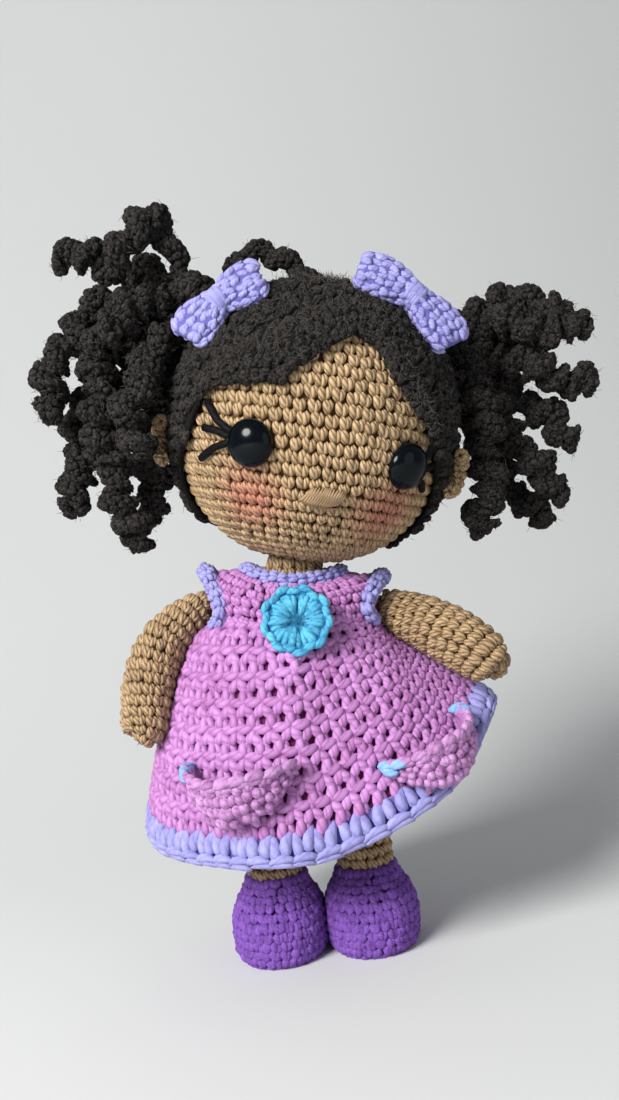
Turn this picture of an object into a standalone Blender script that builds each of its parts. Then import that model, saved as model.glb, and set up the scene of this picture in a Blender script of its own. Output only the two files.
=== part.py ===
"""Crocheted doll (amigurumi) with a stuffed head, limbs and body, a dress and two bunches of curls.

The doll stands on flat soles and faces -Y. Its own left is +X. Every length is in metres.
Angles round the head are measured from the face (0 degrees), positive towards the doll's left;
polar angles are measured from the crown.
"""

import math

import bmesh
import bpy
import numpy as np
from mathutils import Matrix, Vector
from mathutils.bvhtree import BVHTree

MM = 0.001

# Clearances and yarn fabric
GAP = 0.3 * MM
FABRIC_WALL = 2.0 * MM
CLOTH_WALL = 2.2 * MM

# Head
HEAD_RADIUS = 36.4 * MM
HEAD_FULLNESS = 0.94
HEAD_ABOVE_NECK = 34.9 * MM
HEAD_TURN = math.radians(12.0)
HEAD_TILT = math.radians(14.0)
HEAD_NOD = math.radians(3.0)
NECK_HOLE_RADIUS = 10.5 * MM
HEAD_SIDES = 26
HEAD_RINGS = 9

# Face
EYE_RADIUS = 6.0 * MM
EYE_DOME = 4.6 * MM
EYE_RIM = 0.8 * MM
EYE_AZIMUTHS = {"right": math.radians(-34.5), "left": math.radians(30.5)}
EYE_POLAR = math.radians(102.0)
SHANK_RADIUS = 1.6 * MM
SHANK_LENGTH = 7.5 * MM
WASHER_RADIUS = 4.8 * MM
WASHER_THICKNESS = 1.0 * MM
LASH_LENGTHS = {"right": 7.6 * MM, "left": 4.2 * MM}
LASH_HALF_WIDTH = 0.8 * MM
LASH_THICKNESS = 1.3 * MM
LASH_ROOT = 1.6 * MM
LASH_FAN = math.radians(30.0)
LASH_LEANS = {"right": math.radians(3.0), "left": math.radians(-34.0)}
NOSE_HALF_WIDTH = 6.4 * MM
NOSE_HALF_HEIGHT = 2.8 * MM
NOSE_HEIGHT_PROUD = 1.9 * MM
NOSE_POLAR = math.radians(119.0)
NOSE_AZIMUTH = math.radians(-3.0)
EAR_ARC_RADIUS = 4.4 * MM
EAR_TUBE_RADIUS = 2.0 * MM
EAR_PLACES = {"right": (math.radians(-86.0), math.radians(103.0)), "left": (math.radians(60.0), math.radians(100.0))}

# Hair
CAP_THICKNESS = 2.6 * MM
CAP_EASE = 0.8 * MM
CAP_SIDES = 36
CAP_RINGS = 8
FRINGE_THICKNESS = 3.6 * MM
BOW_HALF_LENGTHS = {"right": 12.6 * MM, "left": 16.4 * MM}
BOW_HALF_WIDTH = 6.0 * MM
BOW_KNOT_HALF_WIDTH = 2.8 * MM
BOW_THICKNESS = 3.4 * MM
BOW_ANGLES = {"right": math.radians(125.0), "left": math.radians(48.0)}
BOW_FORWARD = math.radians(27.0)
BOW_LEAN = math.radians(22.0)
TIE_RADIUS = 7.0 * MM
TIE_AZIMUTHS = {"right": math.radians(-100.0), "left": math.radians(100.0)}
TIE_POLAR = math.radians(51.0)
CURL_RADIUS = 3.7 * MM
CURL_WOBBLE = 0.9 * MM
CURL_PITCH = 7.0 * MM
CURL_ROOT_RADIUS = 2.2 * MM
CURL_ROOT_LENGTH = 9.0 * MM
PIGTAIL_SPREAD = 50.0 * MM
CURL_SIDES = 5
CURL_RINGS_PER_PITCH = 4

# Body
SPINE_START = 60.0 * MM
NECK_PIVOT_HEIGHT = 106.0 * MM
SPINE_BEND = math.radians(10.0)
TORSO_HALF_WIDTH = 19.6 * MM
TORSO_HALF_DEPTH = 15.6 * MM
TORSO_BOTTOM = 46.0 * MM
NECK_RADIUS = 7.0 * MM
NECK_STUB = 5.5 * MM
NECK_TOP = NECK_PIVOT_HEIGHT + NECK_STUB
CORE_LENGTH = 24.0 * MM
SEAM_YARN_RADIUS = 0.8 * MM
TORSO_SIDES = 22

# Limbs
LIMB_SIDES = 12
SHOULDER_BELOW_NECK = 13.5 * MM
SHOULDER_HEIGHT = NECK_PIVOT_HEIGHT - SHOULDER_BELOW_NECK
SHOULDER_BALL = 4.6 * MM
SHOULDER_SEAM_RADIUS = 3.3 * MM
SHOULDER_YARN_RADIUS = 0.62 * MM
ARM_LENGTH = 46.0 * MM
ARM_RADII = {"right": 6.7 * MM, "left": 7.4 * MM}
STUFFING_HOLE = 2.2 * MM
HIP_SPACING = 24.8 * MM
HIP_HEIGHT = 38.3 * MM
LEG_RADIUS = 7.5 * MM
FOOT_CLEAR_OF_SOLE = 3.2 * MM

# Shoes
SHOE_WIDTH = 23.0 * MM
SHOE_LENGTH = 28.0 * MM
SHOE_HEIGHT = 19.5 * MM
SHOE_HEEL = 10.5 * MM
SHOE_SIDES = 22

# Dress
WAIST_BELOW_NECK = 18.0 * MM
WAIST_HEIGHT = NECK_PIVOT_HEIGHT - WAIST_BELOW_NECK
BODICE_HEIGHT = 13.6 * MM
BODICE_TOP = WAIST_HEIGHT + BODICE_HEIGHT
DRESS_EASE = 0.5 * MM
BODICE_HALF_WIDTH = TORSO_HALF_WIDTH + DRESS_EASE + GAP + CLOTH_WALL
BODICE_HALF_DEPTH = TORSO_HALF_DEPTH + DRESS_EASE + GAP + CLOTH_WALL
SHOULDER_HALF_WIDTH = 23.6 * MM
NECKLINE_HALF_WIDTH = 15.0 * MM
NECKLINE_HALF_DEPTH = 14.0 * MM
NECKLINE_TRIM_RADIUS = 1.4 * MM
ARMHOLE_RADIUS = 6.9 * MM
HEM_HEIGHT = 33.0 * MM
HEM_RADIUS_RIGHT = 45.5 * MM
HEM_RADIUS_LEFT = 52.0 * MM
HEM_RADIUS_FRONT = 38.5 * MM
HEM_RADIUS_BACK = 37.0 * MM
HEM_LIFT = 29.0 * MM
HEM_RISE_RIGHT = 6.0 * MM
FOLD_DEPTH = 1.0 * MM
FOLD_COUNT = 7
HEM_TRIM_HEIGHT = 6.8 * MM
SLEEVE_TRIM_RADIUS = 1.5 * MM
SLEEVE_ARC_RADIUS = 8.3 * MM
SKIRT_SIDES = 32
SKIRT_RINGS = 7

# Pockets and rosette
POCKET_HALF_WIDTH = 14.5 * MM
POCKET_DEPTHS = {"right": 15.5 * MM, "left": 14.0 * MM}
POCKET_BULGE = 7.4 * MM
POCKET_WALL = 1.9 * MM
POCKET_SEAT = 0.6 * MM
ROSETTE_RADIUS = 9.4 * MM
ROSETTE_THICKNESS = 2.8 * MM
ROSETTE_PETALS = 8
ROSETTE_HEIGHT = WAIST_HEIGHT
ROSETTE_ACROSS = 1.0 * MM


def smooth(value):
    """Return a value eased between zero and one."""
    clipped = min(max(value, 0.0), 1.0)
    return clipped * clipped * (3.0 - 2.0 * clipped)


def read_table(table, place):
    """Return the eased value of a table of (place, value) pairs."""
    if place <= table[0][0]:
        return table[0][1]
    for (low, low_value), (high, high_value) in zip(table, table[1:]):
        if place <= high:
            share = (place - low) / (high - low)
            return low_value + (high_value - low_value) * share
    return table[-1][1]


def clear_scene():
    """Remove every object that the file starts with."""
    for thing in list(bpy.data.objects):
        bpy.data.objects.remove(thing, do_unlink=True)


def make_material(name, colour, roughness):
    """Return a Principled material of one colour."""
    material = bpy.data.materials.new(name)
    material.use_nodes = True
    shader = material.node_tree.nodes["Principled BSDF"]
    shader.inputs["Base Color"].default_value = (*colour, 1.0)
    shader.inputs["Roughness"].default_value = roughness
    shader.inputs["Metallic"].default_value = 0.0
    return material


def make_empty(name, place, parent=None):
    """Return an empty at a place in the doll's own frame."""
    empty = bpy.data.objects.new(name, None)
    empty.empty_display_size = NECK_RADIUS
    bpy.context.collection.objects.link(empty)
    if parent:
        empty.parent = parent
        empty.location = Vector(place) - parent.matrix_world.translation
    else:
        empty.location = place
    bpy.context.view_layer.update()
    return empty


def make_object(name, points, faces, material, carrier):
    """Return an object, modelled in the doll's frame, whose origin is its carrier's."""
    mesh = bpy.data.meshes.new(name)
    mesh.from_pydata([tuple(point) for point in points], [], faces)
    shell = bmesh.new()
    shell.from_mesh(mesh)
    bmesh.ops.recalc_face_normals(shell, faces=shell.faces)
    shell.to_mesh(mesh)
    shell.free()
    mesh.materials.append(material)
    mesh.shade_smooth()
    mesh.transform(carrier.matrix_world.inverted())
    piece = bpy.data.objects.new(name, mesh)
    piece.parent = carrier
    bpy.context.collection.objects.link(piece)
    return piece


def skin(stations, loop=False):
    """Return points and faces over a row of stations, each a ring of points or one pole."""
    points = []
    numbered = []
    for station in stations:
        numbered.append(list(range(len(points), len(points) + len(station))))
        points.extend(station)
    faces = []
    pairs = list(zip(numbered, numbered[1:]))
    if loop:
        pairs.append((numbered[-1], numbered[0]))
    for low, high in pairs:
        if len(low) == 1 and len(high) == 1:
            continue
        count = max(len(low), len(high))
        for index in range(count):
            following = (index + 1) % count
            if len(low) == 1:
                faces.append((low[0], high[following], high[index]))
            elif len(high) == 1:
                faces.append((low[index], low[following], high[0]))
            else:
                faces.append((low[index], low[following], high[following], high[index]))
    if not loop:
        if len(numbered[0]) > 1:
            faces.append(tuple(reversed(numbered[0])))
        if len(numbered[-1]) > 1:
            faces.append(tuple(numbered[-1]))
    return points, faces


def slab(outer, inner):
    """Return points and faces of a closed slab between two grids of equal size."""
    rows = len(outer)
    columns = len(outer[0])
    count = rows * columns
    points = [point for row in outer for point in row] + [point for row in inner for point in row]
    faces = []
    for row in range(rows - 1):
        for column in range(columns - 1):
            corner = row * columns + column
            quad = (corner, corner + 1, corner + columns + 1, corner + columns)
            faces.append(quad)
            faces.append(tuple(reversed([count + index for index in quad])))
    rim = [column for column in range(columns)]
    rim += [row * columns + columns - 1 for row in range(1, rows)]
    rim += [(rows - 1) * columns + column for column in range(columns - 2, -1, -1)]
    rim += [row * columns for row in range(rows - 2, 0, -1)]
    for index, corner in enumerate(rim):
        following = rim[(index + 1) % len(rim)]
        faces.append((following, corner, count + corner, count + following))
    return points, faces


def circle(radius, height, sides, side_scale=1.0):
    """Return a flat ring of points round the Z axis."""
    ring = []
    for index in range(sides):
        angle = math.tau * index / sides
        ring.append(Vector((radius * math.cos(angle), radius * side_scale * math.sin(angle), height)))
    return ring


def place_ring(ring, matrix):
    """Return a ring of points moved by a matrix."""
    return [matrix @ point for point in ring]


def frame_on(point, direction):
    """Return the matrix that puts +Z along a direction at a point."""
    turn = Vector(direction).normalized().to_track_quat("Z", "Y")
    return Matrix.Translation(point) @ turn.to_matrix().to_4x4()


def smooth_route(route, spacing):
    """Return evenly spaced points on a smooth curve through the route's own points."""
    padded = [2.0 * route[0] - route[1], *route, 2.0 * route[-1] - route[-2]]
    steps = 12
    dense = []
    for index in range(1, len(padded) - 2):
        before, start, end, after = padded[index - 1:index + 3]
        for step in range(steps):
            share = step / steps
            square = share * share
            cube = square * share
            dense.append(0.5 * (2.0 * start + (end - before) * share
                                + (2.0 * before - 5.0 * start + 4.0 * end - after) * square
                                + (3.0 * start - before - 3.0 * end + after) * cube))
    dense.append(route[-1])
    lengths = [0.0]
    for start, end in zip(dense, dense[1:]):
        lengths.append(lengths[-1] + (end - start).length)
    count = max(2, round(lengths[-1] / spacing))
    points = []
    cursor = 0
    for index in range(count + 1):
        wanted = lengths[-1] * index / count
        while cursor < len(dense) - 2 and lengths[cursor + 1] < wanted:
            cursor += 1
        span = max(lengths[cursor + 1] - lengths[cursor], GAP * GAP)
        points.append(dense[cursor].lerp(dense[cursor + 1], (wanted - lengths[cursor]) / span))
    return points


def carried_frames(points):
    """Return a frame at each point of a route, turned as little as the route allows."""
    tangents = []
    for index in range(len(points)):
        ahead = points[min(index + 1, len(points) - 1)]
        behind = points[max(index - 1, 0)]
        tangents.append((ahead - behind).normalized())
    normal = tangents[0].orthogonal().normalized()
    frames = []
    for point, tangent in zip(points, tangents):
        normal = (normal - tangent * normal.dot(tangent)).normalized()
        side = tangent.cross(normal)
        matrix = Matrix((normal, side, tangent)).transposed().to_4x4()
        frames.append(Matrix.Translation(point) @ matrix)
    return frames


def bend_spine(point):
    """Return where a point of the upright body goes when the spine bends to the doll's left."""
    share = max((point[2] - SPINE_START) / (NECK_PIVOT_HEIGHT - SPINE_START), 0.0)
    angle = SPINE_BEND * share * share
    drift = (NECK_PIVOT_HEIGHT - SPINE_START) * SPINE_BEND * share ** 3 / 3.0
    across = point[0]
    return Vector((drift + across * math.cos(angle), point[1], point[2] - across * math.sin(angle)))


NECK_PIVOT = bend_spine(Vector((0.0, 0.0, NECK_PIVOT_HEIGHT)))
HEAD_POSE = (Matrix.Rotation(HEAD_TILT, 4, "Y") @ Matrix.Rotation(HEAD_TURN, 4, "Z")
             @ Matrix.Rotation(HEAD_NOD, 4, "X"))
HEAD_CENTRE = NECK_PIVOT + HEAD_POSE @ Vector((0.0, 0.0, HEAD_ABOVE_NECK))


def neck_ring(radius, height, sides):
    """Return a ring round the neck's own axis, at a height of the upright body."""
    lean = Matrix.Rotation(SPINE_BEND, 4, "Y")
    return [NECK_PIVOT + lean @ (spot - Vector((0.0, 0.0, NECK_PIVOT_HEIGHT))) for spot in circle(radius, height, sides)]


def head_radius(polar):
    """Return the distance from the head's centre to its skin along a polar angle."""
    power = 2.0 / HEAD_FULLNESS
    total = math.sin(polar) ** power + abs(math.cos(polar)) ** power
    return HEAD_RADIUS / total ** (1.0 / power)


def head_point(azimuth, polar, offset=0.0):
    """Return a point in the doll's frame, an offset outside the head's skin."""
    reach = head_radius(polar) + offset
    spot = Vector((math.sin(polar) * math.sin(azimuth), -math.sin(polar) * math.cos(azimuth),
                   math.cos(polar))) * reach
    return HEAD_CENTRE + HEAD_POSE @ spot


def head_normal(azimuth, polar):
    """Return the direction out of the head's skin at a place."""
    step = math.radians(1.0)
    across = head_point(azimuth + step, polar) - head_point(azimuth - step, polar)
    down = head_point(azimuth, polar + step) - head_point(azimuth, polar - step)
    return down.cross(across).normalized()


def head_ring(polar, offset):
    """Return a ring of points round the head at one polar angle."""
    return [head_point(math.tau * index / HEAD_SIDES, polar, offset) for index in range(HEAD_SIDES)]


def neck_hole_polar(offset):
    """Return the polar angle at which the head's skin, moved by an offset, meets the neck hole."""
    low = math.pi / 2.0
    high = math.pi
    for _ in range(40):
        middle = (low + high) / 2.0
        if (head_radius(middle) + offset) * math.sin(middle) > NECK_HOLE_RADIUS:
            low = middle
        else:
            high = middle
    return low


def cut_with(piece, cutter):
    """Subtract a cutter from a piece."""
    cutter.hide_render = True
    cutter.display_type = "WIRE"
    cut = piece.modifiers.new("cut", "BOOLEAN")
    cut.operation = "DIFFERENCE"
    cut.solver = "EXACT"
    cut.object = cutter


def build_head(head, skin_yarn, stuffing):
    """Build the crocheted ball of the head and what fills it."""
    end = neck_hole_polar(0.0)
    outer = [[head_point(0.0, 0.0)]]
    outer += [head_ring(end * index / HEAD_RINGS, 0.0) for index in range(1, HEAD_RINGS + 1)]
    inner_end = neck_hole_polar(-FABRIC_WALL)
    inner = [head_ring(inner_end * index / HEAD_RINGS, -FABRIC_WALL) for index in range(HEAD_RINGS, 0, -1)]
    inner.append([head_point(0.0, 0.0, -FABRIC_WALL)])
    shell = make_object("head_shell", *skin(outer + inner), skin_yarn, head)

    depth = -FABRIC_WALL - GAP
    fill_end = neck_hole_polar(depth)
    filling = [[head_point(0.0, 0.0, depth)]]
    filling += [head_ring(fill_end * index / HEAD_RINGS, depth) for index in range(1, HEAD_RINGS + 1)]
    hollow = HEAD_POSE @ Vector((0.0, 0.0, HEAD_RADIUS * 0.4))
    filling.append([point + hollow for point in filling[-1]])
    filling.append([HEAD_CENTRE - HEAD_POSE @ Vector((0.0, 0.0, HEAD_RADIUS * 0.5))])
    core = make_object("head_stuffing", *skin(filling), stuffing, head)
    return shell, core


def build_eyes(head, shell, core, gloss, washer_plastic, lash_yarn):
    """Build the safety eyes, their washers and the lashes, and cut their seats."""
    for side, azimuth in EYE_AZIMUTHS.items():
        outward = head_normal(azimuth, EYE_POLAR)
        seat = frame_on(head_point(azimuth, EYE_POLAR), outward)
        dome = [circle(SHANK_RADIUS, -SHANK_LENGTH, 12), circle(SHANK_RADIUS, GAP, 12)]
        dome.append(circle(EYE_RADIUS, GAP, 12))
        dome.append(circle(EYE_RADIUS, GAP + EYE_RIM, 12))
        for lift in (0.35, 0.65, 0.88):
            reach = math.sqrt(1.0 - lift * lift)
            dome.append(circle(EYE_RADIUS * reach, GAP + EYE_RIM + (EYE_DOME - EYE_RIM) * lift, 12))
        dome.append([Vector((0.0, 0.0, GAP + EYE_DOME))])
        stations = [place_ring(ring, seat) for ring in dome]
        make_object(f"eye_{side}", *skin(stations), gloss, head)

        inner_radius = HEAD_RADIUS - FABRIC_WALL
        washer_top = -FABRIC_WALL - 2.0 * GAP - WASHER_RADIUS ** 2 / (2.0 * inner_radius)
        bore = SHANK_RADIUS + GAP / 2.0
        washer = [circle(bore, washer_top, 12), circle(WASHER_RADIUS, washer_top, 12),
                  circle(WASHER_RADIUS, washer_top - WASHER_THICKNESS, 12),
                  circle(bore, washer_top - WASHER_THICKNESS, 12)]
        stations = [place_ring(ring, seat) for ring in washer]
        make_object(f"eye_washer_{side}", *skin(stations, loop=True), washer_plastic, head)

        hole = [circle(SHANK_RADIUS + GAP, -FABRIC_WALL * 2.5, 12), circle(SHANK_RADIUS + GAP, FABRIC_WALL, 12)]
        stations = [place_ring(ring, seat) for ring in hole]
        cut_with(shell, make_object(f"eye_hole_{side}", *skin(stations), gloss, head))
        pocket_floor = washer_top - WASHER_THICKNESS - GAP
        pocket = [circle(SHANK_RADIUS + GAP, -SHANK_LENGTH - GAP, 12), circle(SHANK_RADIUS + GAP, pocket_floor, 12),
                  circle(WASHER_RADIUS + GAP, pocket_floor, 12), circle(WASHER_RADIUS + GAP, FABRIC_WALL, 12)]
        stations = [place_ring(ring, seat) for ring in pocket]
        cut_with(core, make_object(f"washer_pocket_{side}", *skin(stations), gloss, head))
        build_lashes(side, head, azimuth, lash_yarn)


def build_lashes(side, head, eye_azimuth, lash_yarn):
    """Build three lashes that spring from the outer corner of an eye."""
    away = -1.0 if side == "right" else 1.0
    length = LASH_LENGTHS[side]
    root_reach = EYE_RADIUS + 2.0 * GAP
    azimuth = eye_azimuth + away * root_reach / HEAD_RADIUS
    hub = Vector((LASH_ROOT, 0.0))
    spots = [Vector((0.0, -LASH_HALF_WIDTH))]
    fingers = []
    for finger in (-1, 0, 1):
        angle = finger * LASH_FAN
        along = Vector((math.cos(angle), math.sin(angle)))
        across = Vector((-along.y, along.x)) * LASH_HALF_WIDTH
        tip = hub + along * length * (1.0 if finger else 0.75)
        fingers.append((hub - across, tip - across, tip + across, hub + across))
    valley = LASH_HALF_WIDTH / math.sin(LASH_FAN / 2.0)
    valleys = [hub + Vector((math.cos(turn), math.sin(turn))) * valley for turn in (-LASH_FAN / 2.0, LASH_FAN / 2.0)]
    spots += [fingers[0][0], fingers[0][1], fingers[0][2], valleys[0], fingers[1][1], fingers[1][2], valleys[1],
              fingers[2][1], fingers[2][2], fingers[2][3], Vector((0.0, LASH_HALF_WIDTH))]
    count = len(spots)
    points = []
    for lift in (GAP, GAP + LASH_THICKNESS):
        for spot in spots:
            turned = Matrix.Rotation(LASH_LEANS[side], 2) @ spot
            points.append(head_point(azimuth + away * turned.x / HEAD_RADIUS, EYE_POLAR - turned.y / HEAD_RADIUS, lift))
    patches = [(0, 1, 10, 11), (1, 4, 7, 10), (1, 2, 3, 4), (4, 5, 6, 7), (7, 8, 9, 10)]
    faces = [tuple(reversed(patch)) for patch in patches]
    faces += [tuple(count + corner for corner in patch) for patch in patches]
    for corner in range(count):
        following = (corner + 1) % count
        faces.append((corner, following, count + following, count + corner))
    make_object(f"lashes_{side}", points, faces, lash_yarn, head)


def build_nose_and_ears(head, skin_yarn):
    """Build the stitched nose and the two ears."""
    up = HEAD_POSE @ Vector((0.0, 0.0, 1.0))
    outward = head_normal(NOSE_AZIMUTH, NOSE_POLAR)
    across = up.cross(outward).normalized()
    rise = outward.cross(across).normalized()
    seat = Matrix((across, rise, outward)).transposed().to_4x4()
    seat.translation = head_point(NOSE_AZIMUTH, NOSE_POLAR)
    stations = []
    for lift in (0.0, 0.45, 0.8):
        reach = math.sqrt(1.0 - lift * lift)
        ring = circle(NOSE_HALF_WIDTH * reach, GAP + NOSE_HEIGHT_PROUD * lift, 16, NOSE_HALF_HEIGHT / NOSE_HALF_WIDTH)
        stations.append(place_ring(ring, seat))
    stations.append([seat @ Vector((0.0, 0.0, GAP + NOSE_HEIGHT_PROUD))])
    make_object("nose", *skin(stations), skin_yarn, head)
    for side, (azimuth, polar) in EAR_PLACES.items():
        forward = 1.0 if side == "right" else -1.0
        lift = CAP_THICKNESS + GAP + EAR_TUBE_RADIUS
        arc = []
        for index in range(9):
            angle = math.radians(-105.0 + 210.0 * index / 8.0)
            spot_azimuth = azimuth - forward * (EAR_ARC_RADIUS * math.cos(angle)) / HEAD_RADIUS
            spot_polar = polar + EAR_ARC_RADIUS * math.sin(angle) / HEAD_RADIUS
            arc.append(head_point(spot_azimuth, spot_polar, lift))
        frames = carried_frames(arc)
        rings = [[arc[0]]] + [place_ring(circle(EAR_TUBE_RADIUS, 0.0, 8), frame) for frame in frames[1:-1]]
        make_object(f"ear_{side}", *skin(rings + [[arc[-1]]]), skin_yarn, head)


def build_cap(head, hair_yarn):
    """Build the hair cap, whose edge follows the hairline."""
    hairline_degrees = [(-180, 143), (-120, 141), (-96, 136), (-88, 124), (-78, 111), (-68, 103), (-61, 88),
                        (-45, 66), (-25, 51), (-10, 41), (2, 36), (10, 42), (24, 60), (34, 77), (41, 91),
                        (52, 104), (64, 117), (76, 128), (92, 138), (120, 141), (180, 143)]
    outer = [[head_point(0.0, 0.0, GAP + CAP_THICKNESS)]]
    inner = []
    for index in range(1, CAP_RINGS + 1):
        top = []
        under = []
        for step in range(CAP_SIDES):
            azimuth = math.tau * step / CAP_SIDES - math.pi
            edge = math.radians(read_table(hairline_degrees, math.degrees(azimuth)))
            polar = edge * index / CAP_RINGS
            top.append(head_point(azimuth, polar, GAP + CAP_THICKNESS))
            under.append(head_point(azimuth, polar, GAP + CAP_EASE))
        outer.append(top)
        inner.insert(0, under)
    inner.append([head_point(0.0, 0.0, GAP + CAP_EASE)])
    make_object("hair_cap", *skin(outer + inner), hair_yarn, head)
    build_fringes(head, hair_yarn, hairline_degrees)


def build_fringes(head, hair_yarn, hairline_degrees):
    """Build the two panels of hair that meet at the parting."""
    lower_degrees = {"right": [(-60.5, 90.5), (-55, 84), (-45, 82), (-25, 79), (-21, 74), (-9, 63), (1.5, 56)],
                     "left": [(1.5, 56), (10, 60), (16, 70), (24, 77), (36, 88), (40, 92)]}
    spans_degrees = {"right": (-60.0, 1.1), "left": (1.9, 38.5)}
    seam = GAP / HEAD_RADIUS * 2.0
    for side, (start, end) in spans_degrees.items():
        columns = 13 if side == "right" else 9
        rows = 4
        outer = []
        inner = []
        for row in range(rows + 1):
            outer_row = []
            inner_row = []
            for column in range(columns):
                azimuth_degrees = start + (end - start) * column / (columns - 1)
                upper = math.radians(read_table(hairline_degrees, azimuth_degrees)) + seam * 2.5
                lower = math.radians(read_table(lower_degrees[side], azimuth_degrees))
                lower = max(lower, upper + seam)
                share = row / rows
                polar = upper + (lower - upper) * share
                crown = math.sin(math.pi * (0.15 + 0.7 * share))
                azimuth = math.radians(azimuth_degrees)
                outer_row.append(head_point(azimuth, polar, GAP + FRINGE_THICKNESS * (0.6 + 0.4 * crown)))
                inner_row.append(head_point(azimuth, polar, GAP + CAP_EASE))
            outer.append(outer_row)
            inner.append(inner_row)
        make_object(f"fringe_{side}", *slab(outer, inner), hair_yarn, head)


def bow_point(side, share, height, depth):
    """Return a point of a bow: share along it, height up its leaning face, depth through it."""
    seat = HEAD_RADIUS + CAP_THICKNESS + 2.0 * GAP + BOW_THICKNESS * 0.22
    reach = seat * math.cos(BOW_FORWARD) + height * math.cos(BOW_LEAN) - depth * math.sin(BOW_LEAN)
    back = -seat * math.sin(BOW_FORWARD) + height * math.sin(BOW_LEAN) + depth * math.cos(BOW_LEAN)
    angle = BOW_ANGLES[side] - share * BOW_HALF_LENGTHS[side] / (seat * math.cos(BOW_FORWARD) + BOW_HALF_WIDTH)
    return HEAD_CENTRE + Vector((reach * math.cos(angle), back, reach * math.sin(angle)))


def build_bows(head, lavender):
    """Build the two bows, each a strip pinched at its middle and standing on the cap."""
    for side in ("right", "left"):
        stations = []
        steps = 12
        for index in range(steps + 1):
            share = -1.0 + 2.0 * index / steps
            spread = abs(share) ** 0.8
            half_width = BOW_KNOT_HALF_WIDTH + (BOW_HALF_WIDTH - BOW_KNOT_HALF_WIDTH) * smooth(spread * 1.4)
            if index in (0, steps):
                half_width *= 0.8
            thick = BOW_THICKNESS * (0.75 - 0.25 * spread)
            ring = []
            for corner in range(12):
                angle = math.tau * corner / 12
                height = BOW_HALF_WIDTH + half_width * math.cos(angle)
                pleat = 1.0 - 0.45 * abs(math.cos(angle)) ** 6 * spread
                ring.append(bow_point(side, share, height, thick * pleat * math.sin(angle)))
            stations.append(ring)
        make_object(f"bow_{side}", *skin(stations), lavender, head)


def tie_centre(side):
    """Return where the gathered root of a pigtail sits against the cap."""
    return head_point(TIE_AZIMUTHS[side], TIE_POLAR, GAP + CAP_THICKNESS + GAP + TIE_RADIUS)


def curl_route_shares():
    """Return each curl's route, counted from its tie, as shares of the pigtails' spread."""
    right = [
        [(-0.10, 0.06, 0.06), (-0.34, 0.14, 0.18), (-0.56, 0.14, 0.30), (-0.72, 0.12, 0.37)],
        [(-0.06, 0.02, 0.12), (-0.08, 0.02, 0.38), (-0.18, -0.04, 0.50), (-0.30, -0.12, 0.42), (-0.36, -0.16, 0.22)],
        [(-0.08, -0.08, 0.02), (-0.20, -0.22, -0.10), (-0.32, -0.28, -0.34), (-0.35, -0.28, -0.58),
         (-0.33, -0.28, -0.82)],
        [(-0.14, -0.04, 0.04), (-0.42, -0.12, 0.08), (-0.60, -0.16, -0.14), (-0.62, -0.16, -0.40),
         (-0.52, -0.14, -0.78), (-0.50, -0.12, -1.02), (-0.44, -0.10, -1.30)],
        [(-0.12, 0.04, 0.04), (-0.48, 0.02, 0.16), (-0.70, -0.04, 0.00), (-0.82, -0.06, -0.24), (-0.86, -0.06, -0.54)],
        [(-0.10, 0.04, -0.06), (-0.34, 0.04, -0.14), (-0.46, 0.04, -0.42), (-0.54, 0.04, -0.68), (-0.70, 0.02, -0.84),
         (-0.80, 0.00, -1.03)],
        [(-0.10, 0.10, 0.02), (-0.44, 0.18, -0.02), (-0.68, 0.16, -0.34), (-0.77, 0.14, -0.56), (-0.73, 0.12, -0.78)],
        [(-0.06, 0.12, -0.04), (-0.20, 0.24, -0.16), (-0.29, 0.20, -0.50), (-0.31, 0.12, -0.86), (-0.35, 0.08, -1.15)],
    ]
    left = [
        [(0.04, 0.00, 0.12), (0.10, 0.00, 0.34), (0.36, -0.02, 0.25), (0.68, -0.04, 0.12)],
        [(0.12, -0.04, 0.04), (0.30, -0.20, 0.08), (0.56, -0.24, 0.02), (0.72, -0.24, -0.06)],
        [(0.12, 0.04, 0.00), (0.30, 0.14, -0.02), (0.58, 0.18, -0.04)],
        [(0.12, -0.02, -0.02), (0.34, -0.14, -0.17), (0.56, -0.16, -0.24), (0.72, -0.16, -0.34)],
        [(0.10, 0.04, -0.06), (0.26, 0.06, -0.28), (0.48, 0.04, -0.38), (0.61, 0.02, -0.50), (0.64, 0.00, -0.62)],
        [(0.04, -0.08, -0.06), (0.14, -0.28, -0.26), (0.14, -0.32, -0.62), (0.12, -0.32, -0.88), (0.03, -0.30, -1.06)],
        [(0.08, -0.02, -0.08), (0.22, -0.12, -0.42), (0.26, -0.12, -0.66), (0.36, -0.12, -0.82), (0.52, -0.12, -0.91)],
        [(0.06, 0.06, -0.08), (0.16, 0.12, -0.46), (0.18, 0.14, -0.80), (0.28, 0.12, -0.98), (0.46, 0.10, -1.06)],
    ]
    return {"right": right, "left": left}


def hand_routes():
    """Return the hand-drawn routes of all curls of the pigtails, by name."""
    routes = {}
    for side, curls in curl_route_shares().items():
        root = tie_centre(side)
        for number, shares in enumerate(curls, 1):
            route = [root + Vector(share) * PIGTAIL_SPREAD for share in shares]
            heading = (route[0] - root).normalized()
            route[0] = root + heading * (TIE_RADIUS + 2.0 * GAP)
            routes[f"curl_{side}_{number}"] = (side, smooth_route(route, CURL_PITCH / 2.0))
    return routes


def curl_girth(along):
    """Return how far a curl reaches from its centre line at a distance from its root."""
    share = smooth(along / CURL_ROOT_LENGTH)
    full = CURL_RADIUS + CURL_WOBBLE
    return CURL_ROOT_RADIUS + (full - CURL_ROOT_RADIUS) * share


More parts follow.
